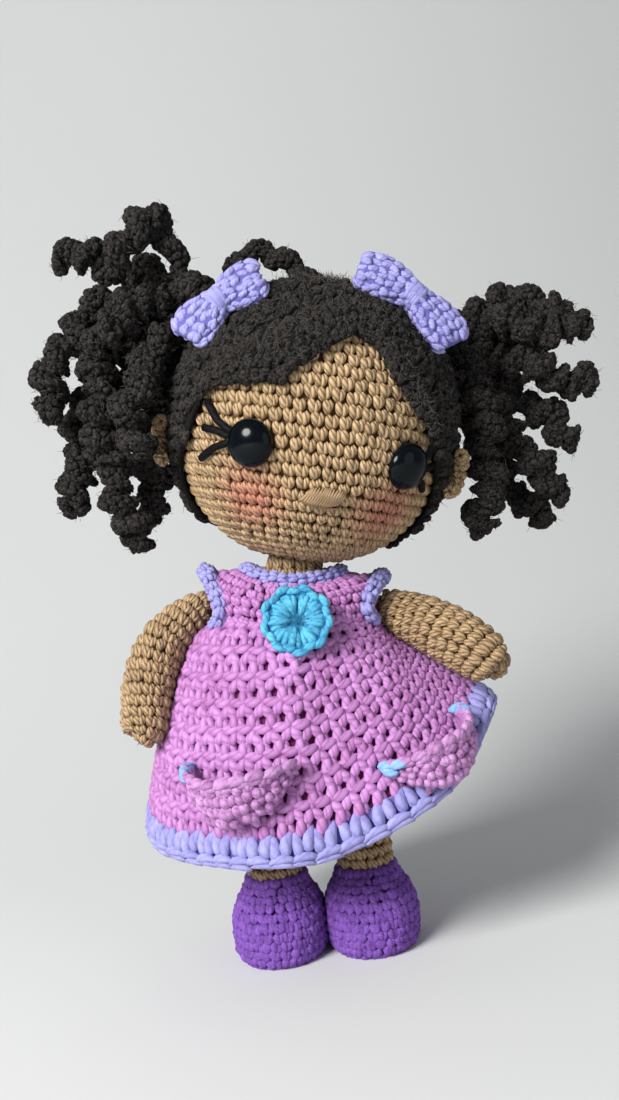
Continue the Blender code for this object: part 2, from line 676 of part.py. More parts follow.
def settle_curls(routes):
    """Push the curls clear of each other and of the head, and return their settled routes.

    Each round moves touching points apart, keeps roots on their tie, and eases kinks out.
    """
    names = list(routes)
    settled = {name: np.array([tuple(point) for point in routes[name][1]]) for name in names}
    drawn = {name: settled[name].copy() for name in names}
    girths = {}
    for name in names:
        spacing = np.linalg.norm(np.diff(drawn[name], axis=0), axis=1).mean()
        girths[name] = np.array([curl_girth(index * spacing) for index in range(len(drawn[name]))])
    roots = {side: np.array(tie_centre(side)) for side in ("right", "left")}
    centre = np.array(HEAD_CENTRE)
    head_clear = HEAD_RADIUS / HEAD_FULLNESS ** 0.5 + CAP_THICKNESS + 3.0 * GAP
    seat = TIE_RADIUS + 2.0 * GAP
    bow_spots = {side: [np.array(bow_point(side, share, BOW_HALF_WIDTH, 0.0)) for share in (-0.8, -0.3, 0.3, 0.8)]
                 for side in ("right", "left")}
    ears = {side: np.array(head_point(*EAR_PLACES[side], CAP_THICKNESS + EAR_TUBE_RADIUS)) for side in EAR_PLACES}
    rounds = 420
    for turn in range(rounds):
        pull = 0.02 * (1.0 - turn / rounds)
        moves = {name: (drawn[name] - settled[name]) * pull for name in names}
        for first_index, first in enumerate(names):
            for second in names[first_index + 1:]:
                if routes[first][0] != routes[second][0]:
                    continue
                apart = settled[first][:, None, :] - settled[second][None, :, :]
                distance = np.linalg.norm(apart, axis=2) + GAP * GAP
                wanted = girths[first][:, None] + girths[second][None, :] + 2.2 * GAP
                short = np.clip(wanted - distance, 0.0, None)
                push = apart / distance[:, :, None] * short[:, :, None] * 0.5
                strongest = np.abs(short).argmax(axis=1)
                moves[first] += push[np.arange(len(push)), strongest]
                strongest = np.abs(short).argmax(axis=0)
                moves[second] -= push[strongest, np.arange(push.shape[1])]
        for name in names:
            points = settled[name] + moves[name]
            eased = points.copy()
            eased[1:-1] = points[1:-1] * 0.84 + (points[:-2] + points[2:]) * 0.08
            side = routes[name][0]
            for spot, reach in [(centre, head_clear), (ears[side], EAR_ARC_RADIUS + EAR_TUBE_RADIUS)]:
                away = eased - spot
                distance = np.linalg.norm(away, axis=1)
                wanted = reach + girths[name]
                short = np.clip(wanted - distance, 0.0, None)
                eased += away / distance[:, None] * short[:, None]
            for spot in bow_spots[side]:
                away = (eased - spot) * np.array([1.0, 1.0, 1.0])
                distance = np.linalg.norm(away, axis=1)
                short = np.clip(BOW_HALF_WIDTH + girths[name] + GAP - distance, 0.0, None)
                eased[:, 1] += short * 0.6
                eased += away / distance[:, None] * short[:, None] * 0.4
            root = roots[side]
            away = eased - root
            distance = np.linalg.norm(away, axis=1)
            short = np.clip(seat - distance, 0.0, None)
            eased += away / distance[:, None] * short[:, None]
            heading = (eased[1] - root) / np.linalg.norm(eased[1] - root)
            eased[0] = root + heading * seat
            settled[name] = eased
    least = measure_gaps(names, routes, settled, girths)
    print(f"least gap between curls: {least / MM:.2f} mm")
    return {name: [Vector(point) for point in settled[name]] for name in names}


def measure_gaps(names, routes, settled, girths):
    """Return the least gap between the envelopes of two curls of one pigtail."""
    least = PIGTAIL_SPREAD
    for first_index, first in enumerate(names):
        for second in names[first_index + 1:]:
            if routes[first][0] != routes[second][0]:
                continue
            apart = settled[first][:, None, :] - settled[second][None, :, :]
            distance = np.linalg.norm(apart, axis=2) - girths[first][:, None] - girths[second][None, :]
            least = min(least, float(distance.min()))
    return least


def curl_stations(route, turned=0.0):
    """Return the stations of a corkscrew curl along a route."""
    points = smooth_route(route, CURL_PITCH / CURL_RINGS_PER_PITCH)
    frames = carried_frames(points)
    stations = []
    travelled = 0.0
    total = sum((end - start).length for start, end in zip(points, points[1:]))
    for index, frame in enumerate(frames):
        if index:
            travelled += (points[index] - points[index - 1]).length
        share = smooth(travelled / CURL_ROOT_LENGTH)
        radius = CURL_ROOT_RADIUS + (CURL_RADIUS - CURL_ROOT_RADIUS) * share
        left_over = total - travelled
        if left_over < CURL_RADIUS:
            radius *= math.sqrt(max(1.0 - (1.0 - left_over / CURL_RADIUS) ** 2, 0.25))
        angle = turned + math.tau * travelled / CURL_PITCH
        wobble = CURL_WOBBLE * share
        offset = Vector((wobble * math.cos(angle), wobble * math.sin(angle), 0.0))
        ring = [point + offset for point in circle(radius, 0.0, CURL_SIDES)]
        stations.append(place_ring(ring, frame))
    return stations


def build_pigtails(doll, hair_yarn, hair_tie):
    """Build the curls of both pigtails and the ties that gather them."""
    settled = settle_curls(hand_routes())
    for side in ("right", "left"):
        root = tie_centre(side)
        pigtail = make_empty(f"pigtail_{side}_pivot", root, doll)
        stations = [[root + Vector((0.0, 0.0, -TIE_RADIUS))]]
        for index in range(1, 6):
            angle = math.pi * index / 6
            ring = circle(TIE_RADIUS * math.sin(angle), -TIE_RADIUS * math.cos(angle), 10)
            stations.append([point + root for point in ring])
        stations.append([root + Vector((0.0, 0.0, TIE_RADIUS))])
        make_object(f"hair_tie_{side}", *skin(stations), hair_tie, pigtail)
        for number, (name, route) in enumerate(settled.items()):
            if name.startswith(f"curl_{side}"):
                make_object(name, *skin(curl_stations(route, number)), hair_yarn, pigtail)


def build_arch_curl(head, hair_yarn):
    """Build the curl that arches over behind the crown."""
    shares = [(-0.49, 0.34, 1.055), (-0.47, 0.30, 1.25), (-0.28, 0.28, 1.36), (-0.01, 0.28, 1.27), (0.16, 0.28, 1.105)]
    route = [HEAD_CENTRE + Vector(share) * HEAD_RADIUS for share in shares]
    make_object("curl_crown", *skin(curl_stations(route)), hair_yarn, head)


def upright_ring(half_width, half_depth, height, sides, across=0.0):
    """Return an oval ring of the upright body, bent with the spine."""
    ring = []
    for index in range(sides):
        angle = math.tau * index / sides
        spot = Vector((across + half_width * math.cos(angle), half_depth * math.sin(angle), height))
        ring.append(bend_spine(spot))
    return ring


def torso_profile():
    """Return the torso's outline as half width, half depth and height."""
    wide = TORSO_HALF_WIDTH
    deep = TORSO_HALF_DEPTH
    span = NECK_PIVOT_HEIGHT - TORSO_BOTTOM
    shares = [(0.62, 0.62, 0.0), (0.86, 0.86, 0.045), (1.0, 1.0, 0.17), (1.02, 1.02, 0.40), (1.0, 1.0, 0.62),
              (1.0, 0.94, 0.76), (0.92, 0.82, 0.83), (0.70, 0.66, 0.885)]
    profile = [(wide * a, deep * b, TORSO_BOTTOM + span * c) for a, b, c in shares]
    neck_foot = NECK_PIVOT_HEIGHT - NECK_RADIUS * 0.45
    profile.append((NECK_RADIUS * 1.12, NECK_RADIUS * 1.12, neck_foot))
    profile.append((NECK_RADIUS, NECK_RADIUS, NECK_PIVOT_HEIGHT - NECK_RADIUS * 0.2))
    profile.append((NECK_RADIUS, NECK_RADIUS, NECK_TOP))
    return profile


def build_torso(torso, skin_yarn, stuffing, core_felt):
    """Build the torso with its neck, its filling and the core that stiffens the neck."""
    profile = torso_profile()
    outer = [[bend_spine(Vector((0.0, 0.0, TORSO_BOTTOM)))]]
    outer += [upright_ring(a, b, z, TORSO_SIDES) for a, b, z in profile]
    inner = []
    for a, b, z in reversed(profile):
        height = z
        if z == TORSO_BOTTOM:
            height = z + FABRIC_WALL
        elif z < TORSO_BOTTOM + FABRIC_WALL * 2.0:
            height = z + FABRIC_WALL * 0.7
        inner.append(upright_ring(a - FABRIC_WALL, b - FABRIC_WALL, height, TORSO_SIDES))
    inner.append([bend_spine(Vector((0.0, 0.0, TORSO_BOTTOM + FABRIC_WALL)))])
    make_object("torso_shell", *skin(outer + inner), skin_yarn, torso)

    core_radius = NECK_RADIUS - FABRIC_WALL - GAP
    core_foot = NECK_TOP - CORE_LENGTH
    fill = []
    depth = FABRIC_WALL + GAP
    for a, b, z in profile[:-3]:
        height = z
        if z == TORSO_BOTTOM:
            height = z + depth
        elif z < TORSO_BOTTOM + FABRIC_WALL * 2.0:
            height = z + depth * 0.7
        fill.append(upright_ring(a - depth, b - depth, height, TORSO_SIDES))
    top = profile[-4]
    socket = core_radius + GAP
    fill.append(neck_ring(socket, top[2] - GAP, TORSO_SIDES))
    fill.append(neck_ring(socket, core_foot - GAP, TORSO_SIDES))
    fill.insert(0, [bend_spine(Vector((0.0, 0.0, TORSO_BOTTOM + depth)))])
    fill.append(neck_ring(0.0, core_foot - GAP, 1))
    make_object("torso_stuffing", *skin(fill), stuffing, torso)


def build_neck(neck, seam, core_felt, seam_yarn):
    """Build the neck core and the seam of yarn between neck and head."""
    core_radius = NECK_RADIUS - FABRIC_WALL - GAP
    core_foot = NECK_TOP - CORE_LENGTH
    stations = []
    steps = 6
    for index in range(steps + 1):
        height = core_foot + CORE_LENGTH * index / steps
        radius = core_radius
        if index in (0, steps):
            radius = core_radius * 0.8
        stations.append(neck_ring(radius, height, TORSO_SIDES))
    make_object("neck_core", *skin(stations), core_felt, neck)
    ring_radius = (NECK_RADIUS + NECK_HOLE_RADIUS) / 2.0
    stations = []
    for index in range(20):
        angle = math.tau * index / 20
        spoke = Vector((math.cos(angle), math.sin(angle), 0.0))
        ring = []
        for corner in range(5):
            turn = math.tau * corner / 5
            spot = spoke * (ring_radius + SEAM_YARN_RADIUS * math.cos(turn))
            spot.z = SEAM_YARN_RADIUS * math.sin(turn)
            ring.append(NECK_PIVOT + HEAD_POSE @ spot)
        stations.append(ring)
    make_object("neck_seam", *skin(stations, loop=True), seam_yarn, seam)


def limb_stations(route, radii_shares, radius, wall, root_radius, open_root):
    """Return the stations of a stuffed limb, inset by a wall, from its root to its rounded tip."""
    points = smooth_route(route, ARM_LENGTH / 8.0)
    length = sum((end - start).length for start, end in zip(points, points[1:]))
    frames = carried_frames(points)
    root_size = root_radius - wall
    start = -math.radians(90.0)
    if open_root:
        start = -math.acos(STUFFING_HOLE / root_size)
    stations = []
    if not open_root:
        stations.append([frames[0] @ Vector((0.0, 0.0, -root_size))])
    bands = 3
    for index in range(bands):
        if index == 0 and not open_root:
            continue
        angle = start * (1.0 - index / bands)
        ring = circle(root_size * math.cos(angle), root_size * math.sin(angle), LIMB_SIDES)
        stations.append(place_ring(ring, frames[0]))
    tip_radius = radius * radii_shares[-1][1] - wall
    tip_start = length - radius * radii_shares[-1][1]
    travelled = 0.0
    last = frames[0]
    for index, frame in enumerate(frames):
        if index:
            travelled += (points[index] - points[index - 1]).length
        if travelled > tip_start:
            break
        size = radius * read_table(radii_shares, travelled / length) - wall
        stations.append(place_ring(circle(size, 0.0, LIMB_SIDES), frame))
        last = frame
    reach = tip_start - sum((end - start).length for start, end in zip(points, points[1:index]))
    end_frame = last @ Matrix.Translation((0.0, 0.0, max(reach, GAP)))
    for step in (0, 1, 2, 3):
        angle = math.radians(90.0) * step / 4
        ring = circle(tip_radius * math.cos(angle), tip_radius * math.sin(angle), LIMB_SIDES)
        stations.append(place_ring(ring, end_frame))
    stations.append([end_frame @ Vector((0.0, 0.0, tip_radius))])
    return stations


def build_limb(name, route, radii_shares, radius, root_radius, carrier, skin_yarn, stuffing):
    """Build a crocheted limb, open at its root, and its filling."""
    outer = limb_stations(route, radii_shares, radius, 0.0, root_radius, True)
    inner = limb_stations(route, radii_shares, radius, FABRIC_WALL, root_radius, True)
    make_object(name, *skin(outer + list(reversed(inner)), loop=True), skin_yarn, carrier)
    filling = limb_stations(route, radii_shares, radius, FABRIC_WALL + GAP, root_radius, False)
    make_object(f"{name}_stuffing", *skin(filling), stuffing, carrier)


def shoulder_pivot(side):
    """Return the centre of a shoulder's ball, seated on the side of the torso."""
    return bend_spine(upright_shoulder(side))


def upright_shoulder(side):
    """Return where a shoulder's ball would sit if the spine were straight."""
    away = -1.0 if side == "right" else 1.0
    reach = TORSO_HALF_WIDTH + 2.0 * GAP + SHOULDER_BALL
    return Vector((away * reach, 0.0, SHOULDER_HEIGHT))


def build_arms(doll, skin_yarn, stuffing, seam_yarn):
    """Build both arms and the seams that hold them to the torso."""
    arm_shares = [(0.0, 0.66), (0.14, 0.82), (0.32, 0.97), (0.62, 1.0), (1.0, 0.97)]
    routes_shares = {"right": [(0.0, 0.0, 0.0), (-0.160, -0.08, -0.080), (-0.280, -0.18, -0.238),
                               (-0.348, -0.26, -0.428), (-0.400, -0.33, -0.739)],
                     "left": [(0.0, 0.0, 0.0), (0.168, -0.13, -0.10), (0.334, -0.26, -0.235), (0.598, -0.36, -0.457)]}
    for side, shares in routes_shares.items():
        pivot = shoulder_pivot(side)
        away = -1.0 if side == "right" else 1.0
        swing = make_empty(f"shoulder_{side}_swing", pivot, doll)
        lift = make_empty(f"shoulder_{side}_lift", pivot, doll)
        route = [pivot + Vector(share) * ARM_LENGTH for share in shares]
        build_limb(f"arm_{side}", route, arm_shares, ARM_RADII[side], SHOULDER_BALL, lift, skin_yarn, stuffing)
        seat = Vector((-away * (SHOULDER_BALL - SHOULDER_YARN_RADIUS * 0.4), 0.0, 0.0))
        stations = []
        for index in range(14):
            angle = math.tau * index / 14
            spoke = Vector((0.0, math.cos(angle), math.sin(angle)))
            ring = []
            for corner in range(5):
                turn = math.tau * corner / 5
                across = Vector((SHOULDER_YARN_RADIUS * math.sin(turn), 0.0, 0.0))
                spot = spoke * (SHOULDER_SEAM_RADIUS + SHOULDER_YARN_RADIUS * math.cos(turn)) + across
                ring.append(bend_spine(upright_shoulder(side) + seat + spot))
            stations.append(ring)
        make_object(f"shoulder_seam_{side}", *skin(stations, loop=True), seam_yarn, swing)


def build_legs(doll, skin_yarn, stuffing, shoe_yarn):
    """Build both legs and their shoes."""
    leg_shares = [(0.0, 0.97), (0.25, 1.0), (0.6, 0.98), (0.8, 0.93), (1.0, 0.93)]
    for side, away in (("right", -1.0), ("left", 1.0)):
        pivot = Vector((away * HIP_SPACING / 2.0, 0.0, HIP_HEIGHT))
        hip = make_empty(f"hip_{side}_pivot", pivot, doll)
        length = HIP_HEIGHT - FOOT_CLEAR_OF_SOLE
        route = [pivot + Vector((0.0, 0.0, -length * share)) for share in (0.0, 0.35, 0.7, 1.0)]
        build_limb(f"leg_{side}", route, leg_shares, LEG_RADIUS, LEG_RADIUS * 0.97, hip, skin_yarn, stuffing)
        build_shoe(side, pivot, hip, shoe_yarn)


def build_shoe(side, pivot, hip, shoe_yarn):
    """Build a shoe with a flat sole and a bore that takes the foot."""
    half = SHOE_WIDTH / 2.0
    toe = SHOE_LENGTH - SHOE_HEEL
    bands_shares = [(0.80, 0.82, 0.82, 0.0), (0.96, 0.96, 0.97, 0.12), (1.0, 1.0, 1.0, 0.30), (0.98, 0.97, 0.97, 0.50),
                    (0.88, 0.84, 0.90, 0.68), (0.79, 0.62, 0.84, 0.84), (0.775, 0.52, 0.83, 0.95), (0.76, 0.50, 0.82, 1.0)]
    stations = []
    for wide, front, heel, height in bands_shares:
        ring = []
        for index in range(SHOE_SIDES):
            angle = math.tau * index / SHOE_SIDES
            across = half * wide * math.copysign(abs(math.cos(angle)) ** 0.9, math.cos(angle))
            along = math.sin(angle)
            reach = toe * front if along < 0.0 else SHOE_HEEL * heel
            ring.append(Vector((pivot.x + across, reach * math.copysign(abs(along) ** 0.9, along),
                                SHOE_HEIGHT * height)))
        stations.append(ring)
    bore = LEG_RADIUS * 0.98 + GAP
    ankle = LEG_RADIUS * 0.93
    tip_start = FOOT_CLEAR_OF_SOLE + ankle
    for height, radius in ((SHOE_HEIGHT, bore), (tip_start, bore)):
        ring = circle(radius, height, SHOE_SIDES)
        stations.append([Vector((pivot.x + spot.x, spot.y, spot.z)) for spot in ring])
    for step in (1, 2, 3):
        angle = math.radians(90.0) * step / 4
        ring = circle(bore * math.cos(angle), tip_start - (ankle + GAP) * math.sin(angle), SHOE_SIDES)
        stations.append([Vector((pivot.x + spot.x, spot.y, spot.z)) for spot in ring])
    stations.append([Vector((pivot.x, 0.0, tip_start - ankle - GAP))])
    make_object(f"shoe_{side}", *skin(stations), shoe_yarn, hip)


def skirt_reach(angle):
    """Return how far the hem stands from the body's axis at an angle from the doll's left."""
    side = math.cos(angle)
    depth = math.sin(angle)
    wide = HEM_RADIUS_LEFT if side > 0.0 else HEM_RADIUS_RIGHT
    deep = HEM_RADIUS_BACK if depth > 0.0 else HEM_RADIUS_FRONT
    return wide, deep


def lifted(angle):
    """Return how much of the hem's lift applies at an angle from the doll's left."""
    towards = max(math.cos(angle), 0.0)
    return 0.75 * towards ** 1.5 + 0.25 * towards ** 12


def skirt_point(angle, share, offset=0.0):
    """Return a point of the skirt's outside: share runs from the waist to the hem's end."""
    wide, deep = skirt_reach(angle)
    lift = lifted(angle)
    spread = share ** (0.53 + 0.8 * lift ** 0.5)
    fold = FOLD_DEPTH * share * math.cos(FOLD_COUNT * angle)
    across = BODICE_HALF_WIDTH + (wide - BODICE_HALF_WIDTH) * spread + fold + offset
    fore = BODICE_HALF_DEPTH + (deep - BODICE_HALF_DEPTH) * spread + fold + offset
    hem = HEM_HEIGHT + HEM_LIFT * lift + HEM_RISE_RIGHT * max(-math.cos(angle), 0.0) ** 8
    height = WAIST_HEIGHT + (hem - WAIST_HEIGHT) * share
    return bend_spine(Vector((across * math.cos(angle), fore * math.sin(angle), height)))


def skirt_normal(angle, share):
    """Return the direction out of the skirt at a place."""
    step = 0.01
    across = skirt_point(angle + step, share) - skirt_point(angle - step, share)
    down = skirt_point(angle, share + step) - skirt_point(angle, share - step)
    return down.cross(across).normalized()


def pink_end(angle):
    """Return the share of the skirt at which the pink ends and the hem trim begins."""
    start = skirt_point(angle, 0.8)
    end = skirt_point(angle, 1.0)
    return 1.0 - 0.2 * (HEM_TRIM_HEIGHT + GAP) / (end - start).length


def bodice_point(half_width, half_depth, side_height, front_height, angle):
    """Return a point of an oval that rises from its front and back towards its sides."""
    share = math.cos(angle) ** 2
    spot = Vector((half_width * math.cos(angle), half_depth * math.sin(angle),
                   front_height + (side_height - front_height) * share))
    return bend_spine(spot)


def bodice_rings():
    """Return the bodice's rings from the neckline down to just above the waist."""
    span = BODICE_TOP - WAIST_HEIGHT
    wide = SHOULDER_HALF_WIDTH
    deep = BODICE_HALF_DEPTH
    shapes = [(NECKLINE_HALF_WIDTH, NECKLINE_HALF_DEPTH, BODICE_TOP, BODICE_TOP - 0.15 * span),
              (wide * 0.83, deep * 0.85, BODICE_TOP - 0.02 * span, BODICE_TOP - 0.24 * span),
              (wide, deep * 0.945, BODICE_TOP - 0.16 * span, BODICE_TOP - 0.43 * span),
              (wide, deep * 0.985, BODICE_TOP - 0.55 * span, BODICE_TOP - 0.70 * span)]
    return [[bodice_point(*shape, math.tau * step / SKIRT_SIDES) for step in range(SKIRT_SIDES)] for shape in shapes]


def build_dress(torso, pink, lavender):
    """Build the dress as one cloth with a real wall, and its trims."""
    rings = bodice_rings()
    for index in range(SKIRT_RINGS + 1):
        share = (index / SKIRT_RINGS) ** 1.3
        ring = []
        for step in range(SKIRT_SIDES):
            angle = math.tau * step / SKIRT_SIDES
            ring.append(skirt_point(angle, pink_end(angle) * share))
        rings.append(ring)
    points, faces = skin(rings)
    sheet = [face for face in faces if len(face) == 4]
    dress = make_object("dress", points, sheet, pink, torso)
    surface = BVHTree.FromPolygons(points, sheet)
    thicken = dress.modifiers.new("wall", "SOLIDIFY")
    thicken.thickness = CLOTH_WALL
    thicken.offset = -1.0
    thicken.use_even_offset = True
    for side in ("right", "left"):
        pivot = shoulder_pivot(side)
        away = -1.0 if side == "right" else 1.0
        centre = pivot + Vector((0.0, 0.0, SHOULDER_BALL * 0.1))
        cylinder = []
        for reach in (-1.2, 1.8):
            ring = []
            for index in range(20):
                angle = math.tau * index / 20
                ring.append(centre + Vector((away * reach * ARMHOLE_RADIUS, ARMHOLE_RADIUS * math.cos(angle),
                                             ARMHOLE_RADIUS * math.sin(angle))))
            cylinder.append(ring)
        cut_with(dress, make_object(f"armhole_{side}", *skin(cylinder), pink, torso))
        build_sleeve_trim(side, torso, centre, away, surface, lavender)
    build_neckline(torso, lavender)
    build_hem(torso, lavender)


def build_sleeve_trim(side, torso, centre, away, surface, lavender):
    """Build the edging that arches over an armhole, seated on the bodice."""
    arc = []
    for index in range(11):
        angle = math.radians(-12.0 + 204.0 * index / 10.0)
        start = centre + Vector((away * BODICE_HALF_WIDTH, -SLEEVE_ARC_RADIUS * math.cos(angle),
                                 SLEEVE_ARC_RADIUS * math.sin(angle)))
        spot, normal, _, _ = surface.ray_cast(start, Vector((-away, 0.0, 0.0)))
        outward = normal if normal.x * away > 0.0 else -normal
        arc.append(spot + outward * (3.5 * GAP + SLEEVE_TRIM_RADIUS))
    frames = carried_frames(arc)
    rings = [[arc[0]]] + [place_ring(circle(SLEEVE_TRIM_RADIUS, 0.0, 8), frame) for frame in frames[1:-1]]
    make_object(f"sleeve_trim_{side}", *skin(rings + [[arc[-1]]]), lavender, torso)


def build_neckline(torso, lavender):
    """Build the edging round the neck opening."""
    stations = []
    inset = CLOTH_WALL / 2.0
    shape = bodice_rings()[0]
    for index in range(SKIRT_SIDES):
        angle = math.tau * index / SKIRT_SIDES
        outward = Vector((math.cos(angle), math.sin(angle), 0.0))
        centre = shape[index] - outward * inset + Vector((0.0, 0.0, NECKLINE_TRIM_RADIUS + 1.2 * GAP))
        ring = []
        for corner in range(6):
            turn = math.tau * corner / 6
            ring.append(centre + outward * NECKLINE_TRIM_RADIUS * math.cos(turn)
                        + Vector((0.0, 0.0, NECKLINE_TRIM_RADIUS * math.sin(turn))))
        stations.append(ring)
    make_object("neckline_trim", *skin(stations, loop=True), lavender, torso)


def build_hem(torso, lavender):
    """Build the edging that ends the skirt."""
    stations = []
    for step in range(SKIRT_SIDES):
        angle = math.tau * step / SKIRT_SIDES
        start = pink_end(angle)
        out = skirt_normal(angle, start)
        top = skirt_point(angle, start)
        down = (skirt_point(angle, 1.0) - top).normalized()
        begin = top + down * GAP
        finish = begin + down * HEM_TRIM_HEIGHT
        ring = [begin, (begin + finish) / 2.0, finish, finish - out * CLOTH_WALL, begin - out * CLOTH_WALL]
        stations.append(ring)
    make_object("hem_trim", *skin(stations, loop=True), lavender, torso)


def build_pockets(torso, pocket_yarn):
    """Build the two patch pockets, sewn round their bottoms and open at the top."""
    places = {"right": (math.radians(-112.0), 0.575, -0.01), "left": (math.radians(-47.5), 0.70, 0.02)}
    columns = 11
    rows = 5
    for side, (middle, top_share, slant) in places.items():
        outer = []
        inner = []
        for row in range(rows + 1):
            outer_row = []
            inner_row = []
            for column in range(columns):
                across = 0.95 * (-1.0 + 2.0 * column / (columns - 1))
                down = row / rows
                reach = skirt_point(middle, top_share) * 1.0
                reach.z = 0.0
                angle = middle + across * POCKET_HALF_WIDTH / reach.length
                start = skirt_point(angle, 0.5)
                end = skirt_point(angle, 0.9)
                per_length = 0.4 / (end - start).length
                sag = 0.12 * (1.0 - across * across)
                drop = POCKET_DEPTHS[side] * (sag + (math.sqrt(1.0 - across * across) - sag) * down)
                share = top_share + slant * across + drop * per_length
                bulge = POCKET_BULGE * (1.0 - across * across) ** 0.8 * (1.0 - down * down) ** 0.6
                base = skirt_point(angle, share)
                out = skirt_normal(angle, share)
                outer_row.append(base + out * (POCKET_SEAT + bulge + POCKET_WALL))
                inner_row.append(base + out * (POCKET_SEAT + bulge))
            outer.append(outer_row)
            inner.append(inner_row)
        make_object(f"pocket_{side}", *slab(outer, inner), pocket_yarn, torso)


def bodice_front(across, height, offset):
    """Return a point an offset in front of the bodice and the top of the skirt."""
    if height > WAIST_HEIGHT:
        spot = Vector((across, -BODICE_HALF_DEPTH * math.sqrt(1.0 - (across / BODICE_HALF_WIDTH) ** 2), height))
        spot = bend_spine(spot)
    else:
        share = (WAIST_HEIGHT - height) / (WAIST_HEIGHT - HEM_HEIGHT)
        angle = -math.pi / 2.0 + across / BODICE_HALF_WIDTH
        spot = skirt_point(angle, share)
    return spot + Vector((0.0, -offset, 0.0))


def build_rosette(torso, aqua):
    """Build the round flower on the chest, with a scalloped rim and a dimple."""
    sides = ROSETTE_PETALS * 4
    centre = bodice_front(ROSETTE_ACROSS, ROSETTE_HEIGHT, 0.0)
    foot = bodice_front(ROSETTE_ACROSS, ROSETTE_HEIGHT - ROSETTE_RADIUS, 0.0)
    head = bodice_front(ROSETTE_ACROSS, ROSETTE_HEIGHT + ROSETTE_RADIUS, 0.0)
    slope = math.atan2(head.y - foot.y, head.z - foot.z)
    clear = max(GAP, centre.y - foot.lerp(head, 0.5).y + GAP) + GAP
    stations = []
    for reach, proud in ((0.9, 0.0), (1.0, 0.4), (0.9, 1.0), (0.5, 0.82), (0.22, 1.0)):
        ring = []
        for index in range(sides):
            angle = math.tau * index / sides
            scallop = 1.0 - 0.07 * abs(math.cos(ROSETTE_PETALS * angle / 2.0)) ** 3
            radius = ROSETTE_RADIUS * reach * (scallop if reach > 0.4 else 1.0)
            flat = Vector((radius * math.cos(angle), -clear - ROSETTE_THICKNESS * proud, radius * math.sin(angle)))
            flat.rotate(Matrix.Rotation(-slope, 3, "X"))
            flat.y += 0.3 * (radius * math.cos(angle)) ** 2 / BODICE_HALF_WIDTH
            ring.append(centre + flat)
        stations.append(ring)
    dimple = Vector((0.0, -clear - ROSETTE_THICKNESS * 0.7, 0.0))
    dimple.rotate(Matrix.Rotation(-slope, 3, "X"))
    stations.append([centre + dimple])
    make_object("rosette", *skin(stations), aqua, torso)


def stand_at_origin(doll):
    """Move the doll so that the middle of its bounding box's base is the origin."""
    bpy.context.view_layer.update()
    graph = bpy.context.evaluated_depsgraph_get()
    corners = []
    for piece in bpy.data.objects:
        if piece.type != "MESH" or piece.hide_render:
            continue
        solid = piece.evaluated_get(graph)
        corners += [solid.matrix_world @ vertex.co for vertex in solid.data.vertices]
    low = Vector([min(corner[axis] for corner in corners) for axis in range(3)])
    high = Vector([max(corner[axis] for corner in corners) for axis in range(3)])
    middle = (low + high) / 2.0
    doll.location = (-middle.x, -middle.y, -low.z)
    bpy.context.view_layer.update()
    size = high - low
    print(f"overall {size.x / MM:.1f} x {size.y / MM:.1f} x {size.z / MM:.1f} mm")
    for empty in bpy.data.objects:
        if empty.type == "EMPTY":
            place = empty.matrix_world.translation / MM
            print(f"{empty.name}: {place.x:.2f}, {place.y:.2f}, {place.z:.2f} mm")


def main():
    """Build the whole doll."""
    clear_scene()
    skin_yarn = make_material("skin_yarn", (0.60, 0.36, 0.16), 0.85)
    hair_yarn = make_material("hair_yarn", (0.035, 0.022, 0.018), 0.9)
    hair_tie = make_material("hair_tie_yarn", (0.03, 0.02, 0.016), 0.9)
    lavender = make_material("lavender_yarn", (0.50, 0.42, 0.86), 0.85)
    pink = make_material("pink_yarn", (0.76, 0.20, 0.56), 0.85)
    pocket_yarn = make_material("pocket_yarn", (0.80, 0.36, 0.62), 0.85)
    aqua = make_material("aqua_yarn", (0.07, 0.50, 0.76), 0.85)
    shoe_yarn = make_material("purple_yarn", (0.20, 0.04, 0.42), 0.85)
    stuffing = make_material("stuffing", (0.85, 0.85, 0.83), 0.95)
    core_felt = make_material("core_felt", (0.7, 0.68, 0.62), 0.95)
    gloss = make_material("eye_plastic", (0.008, 0.008, 0.01), 0.12)
    washer_plastic = make_material("washer_plastic", (0.8, 0.8, 0.78), 0.45)
    lash_yarn = make_material("lash_yarn", (0.01, 0.01, 0.012), 0.8)
    seam_yarn = make_material("seam_yarn", (0.55, 0.33, 0.15), 0.85)

    doll = make_empty("doll", (0.0, 0.0, 0.0))
    head = make_empty("neck_nod", NECK_PIVOT, doll)
    seam = make_empty("neck_tilt", NECK_PIVOT, doll)
    neck = make_empty("neck_turn", NECK_PIVOT, doll)
    shell, core = build_head(head, skin_yarn, stuffing)
    build_eyes(head, shell, core, gloss, washer_plastic, lash_yarn)
    build_nose_and_ears(head, skin_yarn)
    build_cap(head, hair_yarn)
    build_bows(head, lavender)
    build_pigtails(doll, hair_yarn, hair_tie)
    build_arch_curl(head, hair_yarn)
    build_torso(doll, skin_yarn, stuffing, core_felt)
    build_neck(neck, seam, core_felt, seam_yarn)
    build_arms(doll, skin_yarn, stuffing, seam_yarn)
    build_legs(doll, skin_yarn, stuffing, shoe_yarn)
    build_dress(doll, pink, lavender)
    build_pockets(doll, pocket_yarn)
    build_rosette(doll, aqua)
    stand_at_origin(doll)


main()
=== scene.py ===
"""Looks of a crocheted doll: every fabric is laid stitch by stitch over the form that it covers.

Lengths are in metres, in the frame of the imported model. Shapes are worked out in the doll's own frame,
whose axis stands between the feet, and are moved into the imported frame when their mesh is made.
"""

import logging
import math
from collections.abc import Callable, Sequence
from dataclasses import dataclass, field
from enum import Enum

import bpy
import numpy as np
from mathutils import Matrix, Vector


